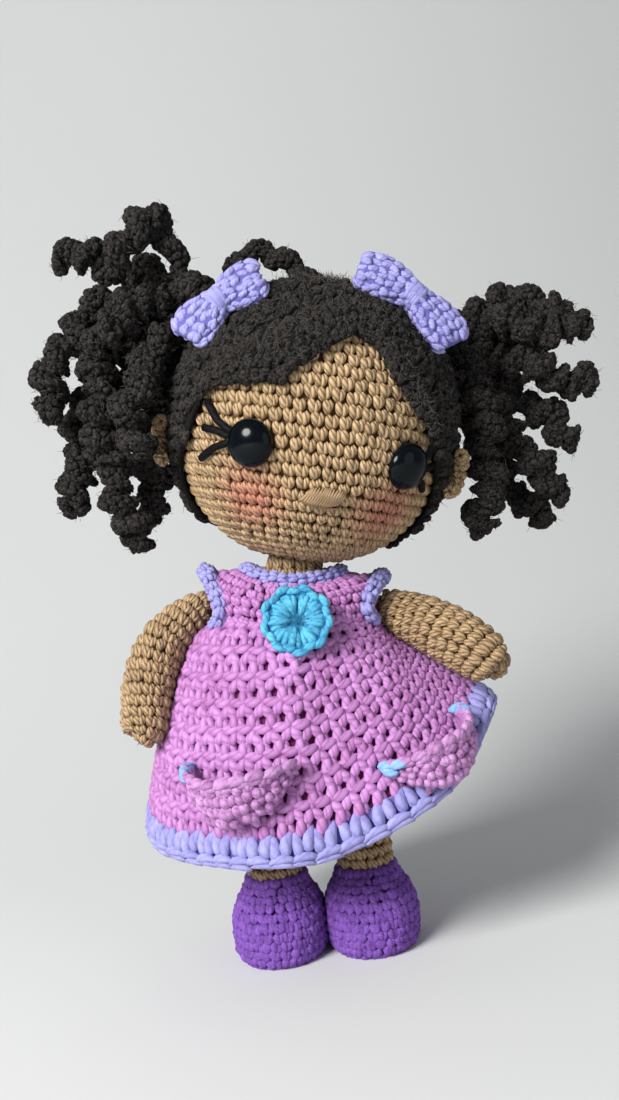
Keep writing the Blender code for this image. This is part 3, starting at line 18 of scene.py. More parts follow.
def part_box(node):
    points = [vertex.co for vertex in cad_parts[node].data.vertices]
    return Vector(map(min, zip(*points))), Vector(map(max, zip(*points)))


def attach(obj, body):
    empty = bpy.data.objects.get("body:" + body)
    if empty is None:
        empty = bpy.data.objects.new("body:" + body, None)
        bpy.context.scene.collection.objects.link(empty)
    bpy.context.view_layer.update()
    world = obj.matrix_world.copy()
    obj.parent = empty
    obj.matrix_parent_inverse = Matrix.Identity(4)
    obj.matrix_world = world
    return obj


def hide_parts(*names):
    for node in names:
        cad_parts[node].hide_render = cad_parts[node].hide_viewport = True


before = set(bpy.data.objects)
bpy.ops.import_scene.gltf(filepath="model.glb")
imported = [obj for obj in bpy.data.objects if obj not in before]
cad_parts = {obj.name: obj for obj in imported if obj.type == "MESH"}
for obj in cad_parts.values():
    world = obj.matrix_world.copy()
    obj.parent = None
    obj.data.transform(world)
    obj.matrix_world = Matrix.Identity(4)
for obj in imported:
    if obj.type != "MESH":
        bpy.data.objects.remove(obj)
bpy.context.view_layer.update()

LOG = logging.getLogger("doll")
MM = 0.001
TAU = math.tau
SHOE_TOE = 17.5 * MM
FOOT_OUT = 12.4 * MM
HIP_HEIGHT = 46.0 * MM
TORSO_WIDE, TORSO_DEEP, TORSO_HIGH = 19.6 * MM, 15.6 * MM, 60.0 * MM
SHOULDER_OUT, SHOULDER_HEIGHT = 24.8 * MM, 92.5 * MM
FULL_TURN = (-math.pi, math.pi)
SIDES = (("right", -1.0), ("left", 1.0))
Surface = Callable[[np.ndarray, np.ndarray], np.ndarray]


def doll_axis() -> np.ndarray:
    """Find the doll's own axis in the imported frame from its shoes.

    Returns:
        The point on the floor between the feet.
    """
    (right_low, right_high), (left_low, left_high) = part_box("shoe_right"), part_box("shoe_left")
    across = (right_low.x + right_high.x + left_low.x + left_high.x) / 4.0
    return np.array((across, right_low.y + SHOE_TOE, 0.0))


AXIS = doll_axis()
RANDOM = np.random.default_rng(12)


class Slot(Enum):
    """Material slots of the record."""

    SKIN = "skin_yarn"
    HAIR = "hair_yarn"
    TIE = "hair_tie_yarn"
    LAVENDER = "lavender_yarn"
    PINK = "pink_yarn"
    POCKET = "pocket_yarn"
    AQUA = "aqua_yarn"
    PURPLE = "purple_yarn"
    FELT = "core_felt"
    EYE = "eye_plastic"
    WASHER = "washer_plastic"
    LASH = "lash_yarn"
    SEAM = "seam_yarn"


# Vectors and meshes


def unit(vectors: np.ndarray) -> np.ndarray:
    """Return the vectors at length one."""
    return vectors / np.maximum(np.linalg.norm(vectors, axis=-1, keepdims=True), 1e-12)


def normals_of(surface: Surface, u: np.ndarray, v: np.ndarray) -> np.ndarray:
    """Work out which way a surface faces.

    Args:
        surface: Maps round and down parameters to points.
        u: Round parameters.
        v: Down parameters.

    Returns:
        Unit normals.
    """
    step = 1e-3
    around = surface(u + step, v) - surface(u - step, v)
    down = surface(u, v + step) - surface(u, v - step)
    return unit(np.cross(down, around))


def deselect() -> None:
    """Deselect every object."""
    bpy.ops.object.select_all(action="DESELECT")


def in_edit_mode(piece: bpy.types.Object, *steps: Callable[[], object], whole: bool = True) -> None:
    """Run edit operators on a piece.

    Args:
        piece: The piece to edit.
        steps: Calls that run operators.
        whole: Whether to select the whole piece first.
    """
    deselect()
    bpy.context.view_layer.objects.active = piece
    piece.select_set(True)
    bpy.ops.object.mode_set(mode="EDIT")
    if whole:
        bpy.ops.mesh.select_all(action="SELECT")
    for step in steps:
        step()
    bpy.ops.object.mode_set(mode="OBJECT")


def face_outwards() -> None:
    """Turn the selected faces outwards."""
    bpy.ops.mesh.normals_make_consistent(inside=False)


def coordinates(piece: bpy.types.Object) -> np.ndarray:
    """Return the points of a piece's mesh."""
    flat = np.empty(len(piece.data.vertices) * 3)
    piece.data.vertices.foreach_get("co", flat)
    return flat.reshape(-1, 3)


def move_points(piece: bpy.types.Object, points: np.ndarray) -> None:
    """Put a piece's points at new places of the doll's own frame."""
    piece.data.vertices.foreach_set("co", (points + AXIS).ravel())
    piece.data.update()


def apply_modifier(piece: bpy.types.Object, kind: str, **settings: object) -> None:
    """Add a modifier to a piece and apply it.

    Args:
        piece: The piece.
        kind: Blender's name of the modifier's type.
        settings: The modifier's settings.
    """
    deselect()
    bpy.context.view_layer.objects.active = piece
    piece.select_set(True)
    modifier = piece.modifiers.new(kind.lower(), kind)
    for name, value in settings.items():
        setattr(modifier, name, value)
    bpy.ops.object.modifier_apply(modifier=modifier.name)


def dress_piece(piece: bpy.types.Object, name: str, material: bpy.types.Material, body: str,
                nodes: Sequence[str] = ()) -> bpy.types.Object:
    """Name a piece, give it its finish and let it ride on a body.

    Args:
        piece: The piece.
        name: Its name.
        material: Its material.
        body: The body that it rides on.
        nodes: The CAD nodes that it stands for.

    Returns:
        The piece.
    """
    piece.name = name
    piece.data.name = name
    piece.data.materials.clear()
    piece.data.materials.append(material)
    piece.data.shade_smooth()
    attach(piece, body)
    if nodes:
        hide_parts(*nodes)
    LOG.info("%s: %d faces, rides on %s", name, len(piece.data.polygons), body)
    return piece


def round_form(surface: Surface, sides: int, rings: int) -> bpy.types.Object:
    """Shape a ball into a closed form with one pole at each end.

    Args:
        surface: Maps an angle round and a share from 0 to 1, pole to pole, to points.
        sides: Faces round.
        rings: Faces from pole to pole.

    Returns:
        The form.
    """
    deselect()
    bpy.ops.mesh.primitive_uv_sphere_add(segments=sides, ring_count=rings, radius=1.0)
    piece = bpy.context.object
    points = coordinates(piece)
    share = np.arccos(np.clip(points[:, 2], -1.0, 1.0)) / math.pi
    move_points(piece, surface(np.arctan2(points[:, 1], points[:, 0]), share))
    in_edit_mode(piece, face_outwards)
    return piece


def cloth_form(surface: Surface, across: tuple[float, float], down: tuple[float, float], sides: int, rows: int,
               thickness: float, closed: bool, holes: Sequence[tuple[np.ndarray, float]] = ()) -> bpy.types.Object:
    """Shape a grid into a cloth with a wall.

    Args:
        surface: Maps the two parameters to points on the outside.
        across: The first parameter's range.
        down: The second parameter's range.
        sides: Faces across.
        rows: Faces down.
        thickness: The wall, which grows inwards.
        closed: Whether the cloth's two sides meet.
        holes: The middle and radius of each round hole along X.

    Returns:
        The cloth.
    """
    deselect()
    bpy.ops.mesh.primitive_grid_add(x_subdivisions=sides, y_subdivisions=rows, size=2.0)
    piece = bpy.context.object
    points = (coordinates(piece)[:, :2] + 1.0) / 2.0
    first = across[0] + (across[1] - across[0]) * points[:, 0]
    second = down[0] + (down[1] - down[0]) * (1.0 - points[:, 1])
    places = surface(first, second)
    move_points(piece, places)
    middle = len(first) // 2 + sides // 2
    outward = normals_of(surface, first[middle:middle + 1], second[middle:middle + 1])[0]
    facing = np.array(piece.data.vertices[middle].normal)
    if closed:
        in_edit_mode(piece, lambda: bpy.ops.mesh.remove_doubles(threshold=1e-6))
    if float(outward @ facing) < 0.0:
        in_edit_mode(piece, bpy.ops.mesh.flip_normals)
    for centre, radius in holes:
        cut_hole(piece, centre + AXIS, radius)
    apply_modifier(piece, "SOLIDIFY", thickness=thickness, offset=-1.0)
    return piece


def cut_hole(piece: bpy.types.Object, centre: np.ndarray, radius: float) -> None:
    """Cut a round hole along X through one side of a cloth.

    Args:
        piece: The cloth.
        centre: The hole's middle, on the side that it's cut from.
        radius: The hole's radius.
    """
    points = coordinates(piece)
    away = points - centre
    reach = np.hypot(away[:, 1], away[:, 2])
    inside = (reach < radius) & (np.abs(away[:, 0]) < 12.0 * MM)
    in_edit_mode(piece, lambda: bpy.ops.mesh.select_all(action="DESELECT"))
    piece.data.vertices.foreach_set("select", inside)
    in_edit_mode(piece, lambda: bpy.ops.mesh.delete(type="VERT"), whole=False)
    points = coordinates(piece)
    away = points - centre
    reach = np.hypot(away[:, 1], away[:, 2])
    rim = (reach < radius * 1.25) & (np.abs(away[:, 0]) < 12.0 * MM)
    shift = np.where(rim & (reach < radius * 1.18), radius * 1.02 / np.maximum(reach, 1e-9), 1.0)
    shift = np.where(open_vertices(piece) & rim, shift, 1.0)
    points[:, 1:] = centre[1:] + away[:, 1:] * shift[:, None]
    piece.data.vertices.foreach_set("co", points.ravel())


def open_vertices(piece: bpy.types.Object) -> np.ndarray:
    """Return which vertices lie on an open edge."""
    sides = np.empty(len(piece.data.loops), dtype=int)
    piece.data.loops.foreach_get("edge_index", sides)
    count = np.bincount(sides, minlength=len(piece.data.edges))
    ends = np.empty(len(piece.data.edges) * 2, dtype=int)
    piece.data.edges.foreach_get("vertices", ends)
    found = np.zeros(len(piece.data.vertices), dtype=bool)
    found[ends.reshape(-1, 2)[count == 1].ravel()] = True
    return found


# Strands of yarn


@dataclass(frozen=True)
class Stitch:
    """A kind of stitch, as strands that each run through three places.

    A place is its share of a stitch across, its share of a row up, its height and its radius in millimetres.
    """

    strands: tuple[tuple[tuple[float, float, float, float], ...], ...]

    def stations(self) -> np.ndarray:
        """Return five eased stations of each strand."""
        keys = np.array(self.strands, dtype=float)
        share = np.linspace(0.0, 1.0, 5)
        weights = np.stack(((1.0 - share) * (1.0 - 2.0 * share), 4.0 * share * (1.0 - share),
                            share * (2.0 * share - 1.0)))
        return np.einsum("kj,skc->sjc", weights, keys)


@dataclass
class StrandTemplate:
    """One strand of yarn, modelled once as a slim ball of six sides and copied for every stitch."""

    sides: int = 6
    rings: int = 6
    station: np.ndarray = field(init=False)
    angle: np.ndarray = field(init=False)
    corners: np.ndarray = field(init=False)
    counts: np.ndarray = field(init=False)
    uvs: np.ndarray = field(init=False)

    def __post_init__(self) -> None:
        """Model the strand and read its faces."""
        deselect()
        bpy.ops.mesh.primitive_uv_sphere_add(segments=self.sides, ring_count=self.rings, radius=1.0)
        piece = bpy.context.object
        points = coordinates(piece)
        mesh = piece.data
        self.station = np.rint(self.rings * (1.0 - np.arccos(np.clip(points[:, 2], -1.0, 1.0)) / math.pi)).astype(int)
        self.angle = np.arctan2(points[:, 1], points[:, 0])
        self.corners = np.empty(len(mesh.loops), dtype=int)
        mesh.loops.foreach_get("vertex_index", self.corners)
        self.counts = np.empty(len(mesh.polygons), dtype=int)
        mesh.polygons.foreach_get("loop_total", self.counts)
        self.uvs = np.empty(len(mesh.loops) * 2)
        mesh.uv_layers.active.data.foreach_get("uv", self.uvs)
        self.uvs = self.uvs.reshape(-1, 2)
        bpy.data.objects.remove(piece, do_unlink=True)
        bpy.data.meshes.remove(mesh)

    def copies(self, centres: np.ndarray, ups: np.ndarray, radii: np.ndarray, flat: float = 1.0) -> bpy.types.Object:
        """Copy the strand along many short paths, as one mesh.

        Args:
            centres: Five stations for each strand.
            ups: The direction out of the fabric at each station.
            radii: The radius at each station.
            flat: How far the strand keeps its height against its width.

        Returns:
            The strands as one piece.
        """
        count = len(centres)
        along = unit(np.gradient(centres, axis=1))
        side = unit(np.cross(ups, along))
        rise = np.cross(along, side)
        ends = np.concatenate((centres[:, :1] - along[:, :1] * radii[:, :1, None] * 0.7, centres,
                               centres[:, -1:] + along[:, -1:] * radii[:, -1:, None] * 0.7), axis=1)
        side, rise = (np.concatenate((data[:, :1], data, data[:, -1:]), axis=1) for data in (side, rise))
        girth = np.pad(radii * np.array((0.75, 1.0, 1.0, 1.0, 0.78)), ((0, 0), (1, 1)))
        station, angle = self.station, self.angle
        reach = girth[:, station][:, :, None]
        points = (ends[:, station] + side[:, station] * reach * np.cos(angle)[None, :, None]
                  + rise[:, station] * reach * np.sin(angle)[None, :, None] * flat)
        size = len(station)
        mesh = bpy.data.meshes.new("strands")
        mesh.vertices.add(count * size)
        mesh.vertices.foreach_set("co", (points + AXIS).ravel())
        corners = (self.corners[None, :] + np.arange(count)[:, None] * size).ravel()
        mesh.loops.add(len(corners))
        mesh.loops.foreach_set("vertex_index", corners)
        counts = np.tile(self.counts, count)
        mesh.polygons.add(len(counts))
        mesh.polygons.foreach_set("loop_start", np.concatenate(((0,), np.cumsum(counts)[:-1])))
        mesh.uv_layers.new(name="strand").data.foreach_set("uv", np.tile(self.uvs, (count, 1)).ravel())
        tone = mesh.attributes.new("tone", "FLOAT", "POINT")
        tone.data.foreach_set("value", np.repeat(RANDOM.random(count), size).astype(np.float32))
        mesh.update(calc_edges=True)
        piece = bpy.data.objects.new("strands", mesh)
        bpy.context.scene.collection.objects.link(piece)
        return piece


STRAND = StrandTemplate()
FIBRE = StrandTemplate(sides=3)


@dataclass
class Places:
    """Where the stitches of one fabric sit on its surface, and how large they are there."""

    u: np.ndarray
    v: np.ndarray
    wide: np.ndarray
    tall: np.ndarray

    def only(self, keep: np.ndarray) -> "Places":
        """Return the places that a mask keeps."""
        return Places(self.u[keep], self.v[keep], self.wide[keep], self.tall[keep])


def rounds(surface: Surface, start: float, stop: float, pitch: float, row: float, drift: float = 0.28,
           multiple: int = 1) -> Places:
    """Work rounds of stitches down a surface that closes on itself.

    Args:
        surface: Maps an angle and a down parameter to points.
        start: The down parameter at which the rounds start.
        stop: The down parameter at which they stop.
        pitch: The width of a stitch.
        row: The height of a row.
        drift: How far each round starts after the one before, in stitches.
        multiple: The number that a round's count of stitches is a multiple of.

    Returns:
        The places of the stitches.
    """
    ladder = np.linspace(start, stop, 400)
    angles = np.linspace(0.0, TAU, 49)
    grid = surface(np.repeat(angles, len(ladder)), np.tile(ladder, len(angles))).reshape(len(angles), -1, 3)
    length = np.concatenate(((0.0,), np.cumsum(np.linalg.norm(np.diff(grid, axis=1), axis=2).mean(axis=0))))
    girth = np.linalg.norm(np.diff(grid, axis=0), axis=2).sum(axis=0)
    count = max(1, round(length[-1] / row))
    parts = []
    shift = 0.0
    for index in range(count):
        middle = np.interp(length[-1] * (index + 0.5) / count, length, ladder)
        low = np.interp(length[-1] * index / count, length, ladder)
        high = np.interp(length[-1] * (index + 1) / count, length, ladder)
        around = max(5, multiple * round(float(np.interp(middle, ladder, girth)) / pitch / multiple))
        step = TAU / around
        u = (np.arange(around) + shift) * step
        parts.append((u, np.full(around, middle), np.full(around, step), np.full(around, high - low)))
        shift += drift
    return Places(*(np.concatenate(column) for column in zip(*parts)))


def patch_rows(across: tuple[float, float], down: tuple[float, float], columns: int, rows: int,
               stagger: float = 0.25) -> Places:
    """Lay stitches in rows over a patch.

    Args:
        across: The first parameter's range.
        down: The second parameter's range.
        columns: Stitches in a row.
        rows: Rows.
        stagger: How far alternate rows are shifted, in stitches.

    Returns:
        The places of the stitches.
    """
    wide = (across[1] - across[0]) / columns
    tall = (down[1] - down[0]) / rows
    row, column = np.meshgrid(np.arange(rows), np.arange(columns), indexing="ij")
    u = across[0] + wide * (column + 0.5 + stagger * (row % 2) - stagger / 2.0)
    v = down[0] + tall * (row + 0.5)
    return Places(u.ravel(), v.ravel(), np.full(u.size, wide), np.full(u.size, tall))


def work(surface: Surface, places: Places, stitch: Stitch, lift: float = 0.0, uneven: float = 0.05,
         flat: float = 1.0, scale: float = 1.0) -> bpy.types.Object:
    """Work stitches over a surface.

    Args:
        surface: Maps the two parameters to points.
        places: Where the stitches sit.
        stitch: The kind of stitch.
        lift: How far all of it is raised, in millimetres.
        uneven: How uneven the hand is, as a share of a stitch.
        flat: How far a strand keeps its height against its width.
        scale: The size of the yarn against the stitch's own.

    Returns:
        The strands as one piece.
    """
    stations = stitch.stations()
    kinds = len(stations)
    count = len(places.u)

    def jitter() -> np.ndarray:
        """Return one random share for each strand."""
        return RANDOM.normal(0.0, uneven, (count, kinds, 1))

    def span(du: float, dv: float) -> np.ndarray:
        """Return how far apart two points beside each stitch's middle are."""
        wide, tall = du * places.wide, dv * places.tall
        return np.linalg.norm(surface(places.u + wide, places.v + tall) - surface(places.u - wide, places.v - tall),
                              axis=-1)

    across = stations[None, :, :, 0] + jitter()
    upward = stations[None, :, :, 1] + jitter()
    height = (stations[None, :, :, 2] + lift + jitter()) * MM
    room = np.sqrt(span(0.4, 0.0) * span(0.0, 0.4))
    fit = np.clip(room / np.median(room), 0.5, 1.08) ** 0.8
    radius = stations[None, :, :, 3] * (1.0 + jitter()) * MM * scale * fit[:, None, None]
    u = places.u[:, None, None] + across * places.wide[:, None, None]
    v = places.v[:, None, None] - upward * places.tall[:, None, None]
    points = surface(u.ravel(), v.ravel())
    ups = normals_of(surface, u.ravel(), v.ravel())
    centres = (points + ups * height.ravel()[:, None]).reshape(count * kinds, 5, 3)
    radii = np.broadcast_to(radius, u.shape).reshape(count * kinds, 5)
    return STRAND.copies(centres, ups.reshape(count * kinds, 5, 3), radii, flat)


def fibres(surface: Surface, count: int, length: float = 1.9 * MM, across: tuple[float, float] = FULL_TURN,
           down: tuple[float, float] = (0.03, 0.97)) -> bpy.types.Object:
    """Scatter loose fibres over a surface.

    Args:
        surface: Maps the two parameters to points.
        count: How many.
        length: Their usual length.
        across: The first parameter's range.
        down: The second parameter's range.

    Returns:
        The fibres as one piece.
    """
    u, v = RANDOM.uniform(*across, count), RANDOM.uniform(*down, count)
    ups = normals_of(surface, u, v)
    share = np.linspace(0.0, 1.0, 5)[None, :, None]
    lean = unit(RANDOM.normal(size=(count, 3)) + ups * 0.8) * (RANDOM.uniform(0.5, 1.5, count) * length)[:, None]
    curl = RANDOM.normal(size=(count, 3)) * length * 0.4
    centres = (surface(u, v) + ups * 0.35 * MM)[:, None] + lean[:, None] * share + curl[:, None] * share ** 2
    centres[..., 2] = np.maximum(centres[..., 2], 0.2 * MM)
    radii = np.broadcast_to(0.075 * MM * (1.0 - 0.5 * share[..., 0]), (count, 5))
    return FIBRE.copies(centres, np.repeat(ups[:, None], 5, axis=1), radii)


@dataclass(frozen=True)
class Fabric:
    """Crochet of one yarn that rides on one body, over a form finished in painted shade."""

    yarn: bpy.types.Material
    # The shaded ground: a dark finish on the form under the stitches, painted shade for the gaps between them.
    shaded_ground: bpy.types.Material
    slot: Slot
    body: str

    def form(self, piece: bpy.types.Object, name: str, *nodes: str) -> bpy.types.Object:
        """Finish the form under the stitches in the painted shade that shows between them.

        Args:
            piece: The form.
            name: Its name.
            nodes: The CAD nodes that it stands for.

        Returns:
            The form.
        """
        return dress_piece(piece, name, self.shaded_ground, self.body, nodes)

    def strands(self, piece: bpy.types.Object, name: str, *nodes: str) -> bpy.types.Object:
        """Finish strands or fibres of the yarn.

        Args:
            piece: The strands.
            name: Their name.
            nodes: The CAD nodes that they stand for.

        Returns:
            The strands.
        """
        return dress_piece(piece, name, self.yarn, self.body, nodes)


def offset_surface(surface: Surface, offset: float) -> Surface:
    """Return a surface moved along its normals."""
    return lambda u, v: surface(u, v) + normals_of(surface, u, v) * offset


SINGLE = Stitch((((-0.04, -0.46, -1.05, 0.85), (-0.19, -0.06, -0.60, 1.10), (-0.27, 0.36, -0.70, 1.08)),
                 ((0.10, -0.46, -1.10, 0.80), (0.22, 0.00, -0.70, 1.06), (0.24, 0.38, -0.78, 1.04))))
POST = Stitch((((-0.26, -0.62, -0.80, 1.25), (-0.17, -0.32, -0.05, 1.42), (-0.08, 0.02, -0.20, 1.25)),
               ((0.24, -0.60, -1.30, 1.10), (0.14, -0.30, -0.70, 1.22), (0.04, 0.00, -0.45, 1.05)),
               ((0.00, -0.10, -0.45, 1.10), (-0.27, 0.08, 0.05, 1.38), (-0.50, 0.36, -0.40, 1.15)),
               ((0.06, -0.08, -0.50, 1.10), (0.26, 0.10, 0.00, 1.35), (0.48, 0.38, -0.40, 1.15)),
               ((-0.54, 0.53, -0.35, 1.25), (0.00, 0.47, 0.00, 1.40), (0.50, 0.53, -0.35, 1.25))))
DROP = Stitch((((0.04, 0.62, -0.95, 0.80), (-0.20, 0.16, -0.10, 1.55), (-0.24, -0.34, -0.25, 1.75)),
               ((0.06, 0.60, -1.00, 0.80), (0.22, 0.14, -0.20, 1.50), (0.27, -0.36, -0.35, 1.70))))
BOBBLE = Stitch((((-0.40, -0.30, -0.60, 0.95), (-0.05, 0.22, 0.25, 1.45), (0.38, 0.10, -0.30, 1.05)),
                 ((-0.10, -0.50, -0.75, 0.90), (0.22, -0.12, 0.05, 1.25), (0.44, 0.42, -0.55, 0.95))))
BRAID = Stitch((((-0.55, -0.12, -0.5, 0.8), (0.0, 0.22, 0.05, 1.15), (0.55, 0.02, -0.45, 0.8)),
                ((-0.45, -0.42, -1.0, 0.7), (0.05, -0.22, -0.55, 1.05), (0.55, -0.5, -1.1, 0.7))))
BUMP = Stitch((((-0.46, -0.30, -0.75, 0.80), (-0.02, 0.12, 0.20, 1.22), (0.44, 0.30, -0.65, 0.85)),))


# Finishes


class Graph:
    """A short way to write a node tree."""

    def __init__(self, tree: bpy.types.NodeTree) -> None:
        """Keep the tree."""
        self.tree = tree

    def add(self, kind: str, inputs: dict | None = None, **settings: object) -> bpy.types.Node:
        """Add a node.

        Args:
            kind: Blender's name of the node's type.
            inputs: Values or sockets for its inputs, by name or number.
            settings: Its other settings.

        Returns:
            The node.
        """
        node = self.tree.nodes.new(kind)
        for name, value in settings.items():
            setattr(node, name, value)
        self.feed(node, inputs or {})
        return node

    def feed(self, node: bpy.types.Node, inputs: dict) -> None:
        """Set a node's inputs to values, or link them to sockets, by name or number."""
        for name, value in inputs.items():
            if isinstance(value, bpy.types.NodeSocket):
                self.tree.links.new(value, node.inputs[name])
            else:
                node.inputs[name].default_value = value

    def maths(self, operation: str, *values: object) -> bpy.types.NodeSocket:
        """Return the result of a sum on values or sockets."""
        return self.add("ShaderNodeMath", dict(enumerate(values)), operation=operation).outputs[0]

    def noise(self, scale: float, detail: float = 3.0, vector: object = None) -> bpy.types.NodeSocket:
        """Return noise on the piece's own coordinates."""
        spot = vector or self.add("ShaderNodeTexCoord").outputs["Object"]
        return self.add("ShaderNodeTexNoise", {"Vector": spot, "Scale": scale, "Detail": detail,
                                               "Roughness": 0.6}).outputs["Fac"]

    def mix(self, share: object, low: object, high: object) -> bpy.types.NodeSocket:
        """Return a colour between two colours."""
        node = self.add("ShaderNodeMix", data_type="RGBA")
        self.feed(node, {0: share, 6: low, 7: high})
        return node.outputs[2]


def new_finish(name: str) -> tuple[bpy.types.Material, Graph, bpy.types.Node]:
    """Make a material.

    Args:
        name: Its name.

    Returns:
        The material, its graph and its shader.
    """
    material = bpy.data.materials.new(name)
    material.use_nodes = True
    return material, Graph(material.node_tree), material.node_tree.nodes["Principled BSDF"]


def twisted_yarn_group() -> bpy.types.NodeTree:
    """Build the group that twists plies along a strand and roughens them with fibres.

    Returns:
        The group, with a height, a painted shade that darkens the grooves between plies and fibres, and a tone of the
        strand.
    """
    tree = bpy.data.node_groups.new("twisted_yarn", "ShaderNodeTree")
    for name, value in (("Plies", 3.0), ("Turns", 2.0), ("Fibre Scale", 1500.0), ("Fibre Share", 0.4)):
        socket = tree.interface.new_socket(name, in_out="INPUT", socket_type="NodeSocketFloat")
        socket.default_value = value
    for name in ("Height", "Shade", "Tone"):
        tree.interface.new_socket(name, in_out="OUTPUT", socket_type="NodeSocketFloat")
    graph = Graph(tree)
    given = graph.add("NodeGroupInput").outputs
    place = graph.add("ShaderNodeSeparateXYZ", {0: graph.add("ShaderNodeUVMap").outputs[0]}).outputs
    turned = graph.maths("ADD", graph.maths("MULTIPLY", place[0], given["Plies"]),
                         graph.maths("MULTIPLY", place[1], given["Turns"]))
    wave = graph.maths("ABSOLUTE", graph.maths("SINE", graph.maths("MULTIPLY", turned, math.pi)))
    plies = graph.maths("POWER", wave, 0.6)
    spot = graph.add("ShaderNodeTexCoord").outputs["Object"]
    fibre = graph.add("ShaderNodeTexNoise", {"Vector": spot, "Scale": given["Fibre Scale"], "Detail": 3.0,
                                             "Roughness": 0.7}).outputs["Fac"]
    rest = graph.maths("SUBTRACT", 1.0, given["Fibre Share"])
    height = graph.maths("ADD", graph.maths("MULTIPLY", plies, rest),
                         graph.maths("MULTIPLY", fibre, given["Fibre Share"]))
    tone = graph.add("ShaderNodeAttribute", attribute_name="tone").outputs["Fac"]
    # Shade repeats the height: painted shade in the grooves between plies and fibres, as a colour mask.
    graph.add("NodeGroupOutput", {"Height": height, "Shade": height, "Tone": tone})
    return tree


TWISTED_YARN = twisted_yarn_group()


@dataclass(frozen=True)
class Yarn:
    """A yarn's finish: a dark colour painted as shade in the grooves between its plies, its own colour on the plies,
    and how it takes the light.
    """

    name: str
    # deep is painted shade for the grooves between plies; light is the yarn's own colour on the plies.
    deep: tuple[float, float, float]
    light: tuple[float, float, float]
    roughness: float = 0.7
    sheen: float = 0.25
    plies: float = 3.0
    turns: float = 2.2
    fibre: float = 0.4
    bump: float = 0.5
    mottle: float = 0.15
    mottle_scale: float = 90.0
    depth: float = 0.3 * MM
    fineness: float = 1500.0
    shine: float = 0.4

    def material(self) -> bpy.types.Material:
        """Return the yarn's material."""
        material, graph, shader = new_finish(self.name)
        group = graph.add("ShaderNodeGroup", node_tree=TWISTED_YARN)
        graph.feed(group, {"Plies": self.plies, "Turns": self.turns, "Fibre Share": self.fibre,
                           "Fibre Scale": self.fineness})
        patches = graph.noise(self.mottle_scale, 2.0)
        # The colour mix is painted shade from the plies' relief, plus each strand's random tone and random patches.
        share = graph.maths("ADD", graph.maths("MULTIPLY", group.outputs["Shade"], 0.75),
                            graph.maths("MULTIPLY", group.outputs["Tone"], 0.25))
        share = graph.maths("ADD", share, graph.maths("MULTIPLY", graph.maths("SUBTRACT", patches, 0.5),
                                                      self.mottle * 4.0))
        colour = self.tint(graph, graph.mix(share, (*self.deep, 1.0), (*self.light, 1.0)))
        bump = graph.add("ShaderNodeBump", {"Height": group.outputs["Height"], "Strength": self.bump,
                                            "Distance": self.depth})
        graph.feed(shader, {"Base Color": colour, "Normal": bump.outputs[0], "Roughness": self.roughness,
                            "Specular IOR Level": self.shine, "Sheen Weight": self.sheen, "Sheen Roughness": 0.5,
                            "Sheen Tint": (*self.light, 1.0)})
        return material

    def tint(self, graph: Graph, colour: bpy.types.NodeSocket) -> bpy.types.NodeSocket:
        """Return the colour as the yarn leaves it."""
        return colour


@dataclass(frozen=True)
class BlushedYarn(Yarn):
    """A yarn with patches of blush rubbed into it."""

    spots: tuple[tuple[float, float, float], ...] = ()
    reach: float = 14.5 * MM
    blush: tuple[float, float, float] = (0.42, 0.10, 0.085)

    def tint(self, graph: Graph, colour: bpy.types.NodeSocket) -> bpy.types.NodeSocket:
        """Return the colour with blush near its spots."""
        place = graph.add("ShaderNodeTexCoord").outputs["Object"]
        for spot in self.spots:
            away = graph.add("ShaderNodeVectorMath", {0: place, 1: spot}, operation="DISTANCE").outputs["Value"]
            rough = graph.maths("ADD", away, graph.maths("MULTIPLY", graph.noise(260.0), 5.0 * MM))
            near = graph.add("ShaderNodeMapRange", {"Value": rough, "From Min": self.reach,
                                                    "From Max": self.reach * 0.30, "To Max": 0.60}).outputs[0]
            colour = graph.mix(near, colour, (*self.blush, 1.0))
        return colour


@dataclass(frozen=True)
class Plain:
    """A finish without stitches: moulded plastic, felt or the shade between stitches."""

    name: str
    colour: tuple[float, float, float]
    roughness: float
    grain: float = 400.0
    vary: float = 0.25
    bump: float = 0.2
    coat: float = 0.0
    roughen: float = 0.1
    shine: float = 0.5

    def material(self) -> bpy.types.Material:
        """Return the material."""
        material, graph, shader = new_finish(self.name)
        grain = graph.noise(self.grain)
        dark = tuple(value * (1.0 - self.vary) for value in self.colour)
        bright = tuple(min(1.0, value * (1.0 + self.vary)) for value in self.colour)
        colour = graph.mix(grain, (*dark, 1.0), (*bright, 1.0))
        rough = graph.add("ShaderNodeMapRange", {"Value": grain, "To Min": self.roughness - self.roughen / 2.0,
                                                 "To Max": self.roughness + self.roughen / 2.0}).outputs[0]
        graph.feed(shader, {"Base Color": colour, "Roughness": rough, "Specular IOR Level": self.shine,
                            "Coat Weight": self.coat, "Coat Roughness": 0.03})
        if self.bump:
            bump = graph.add("ShaderNodeBump", {"Height": grain, "Strength": self.bump, "Distance": 0.2 * MM})
            graph.feed(shader, {"Normal": bump.outputs[0]})
        return material


# The doll's own shapes, from the same measures as its solids

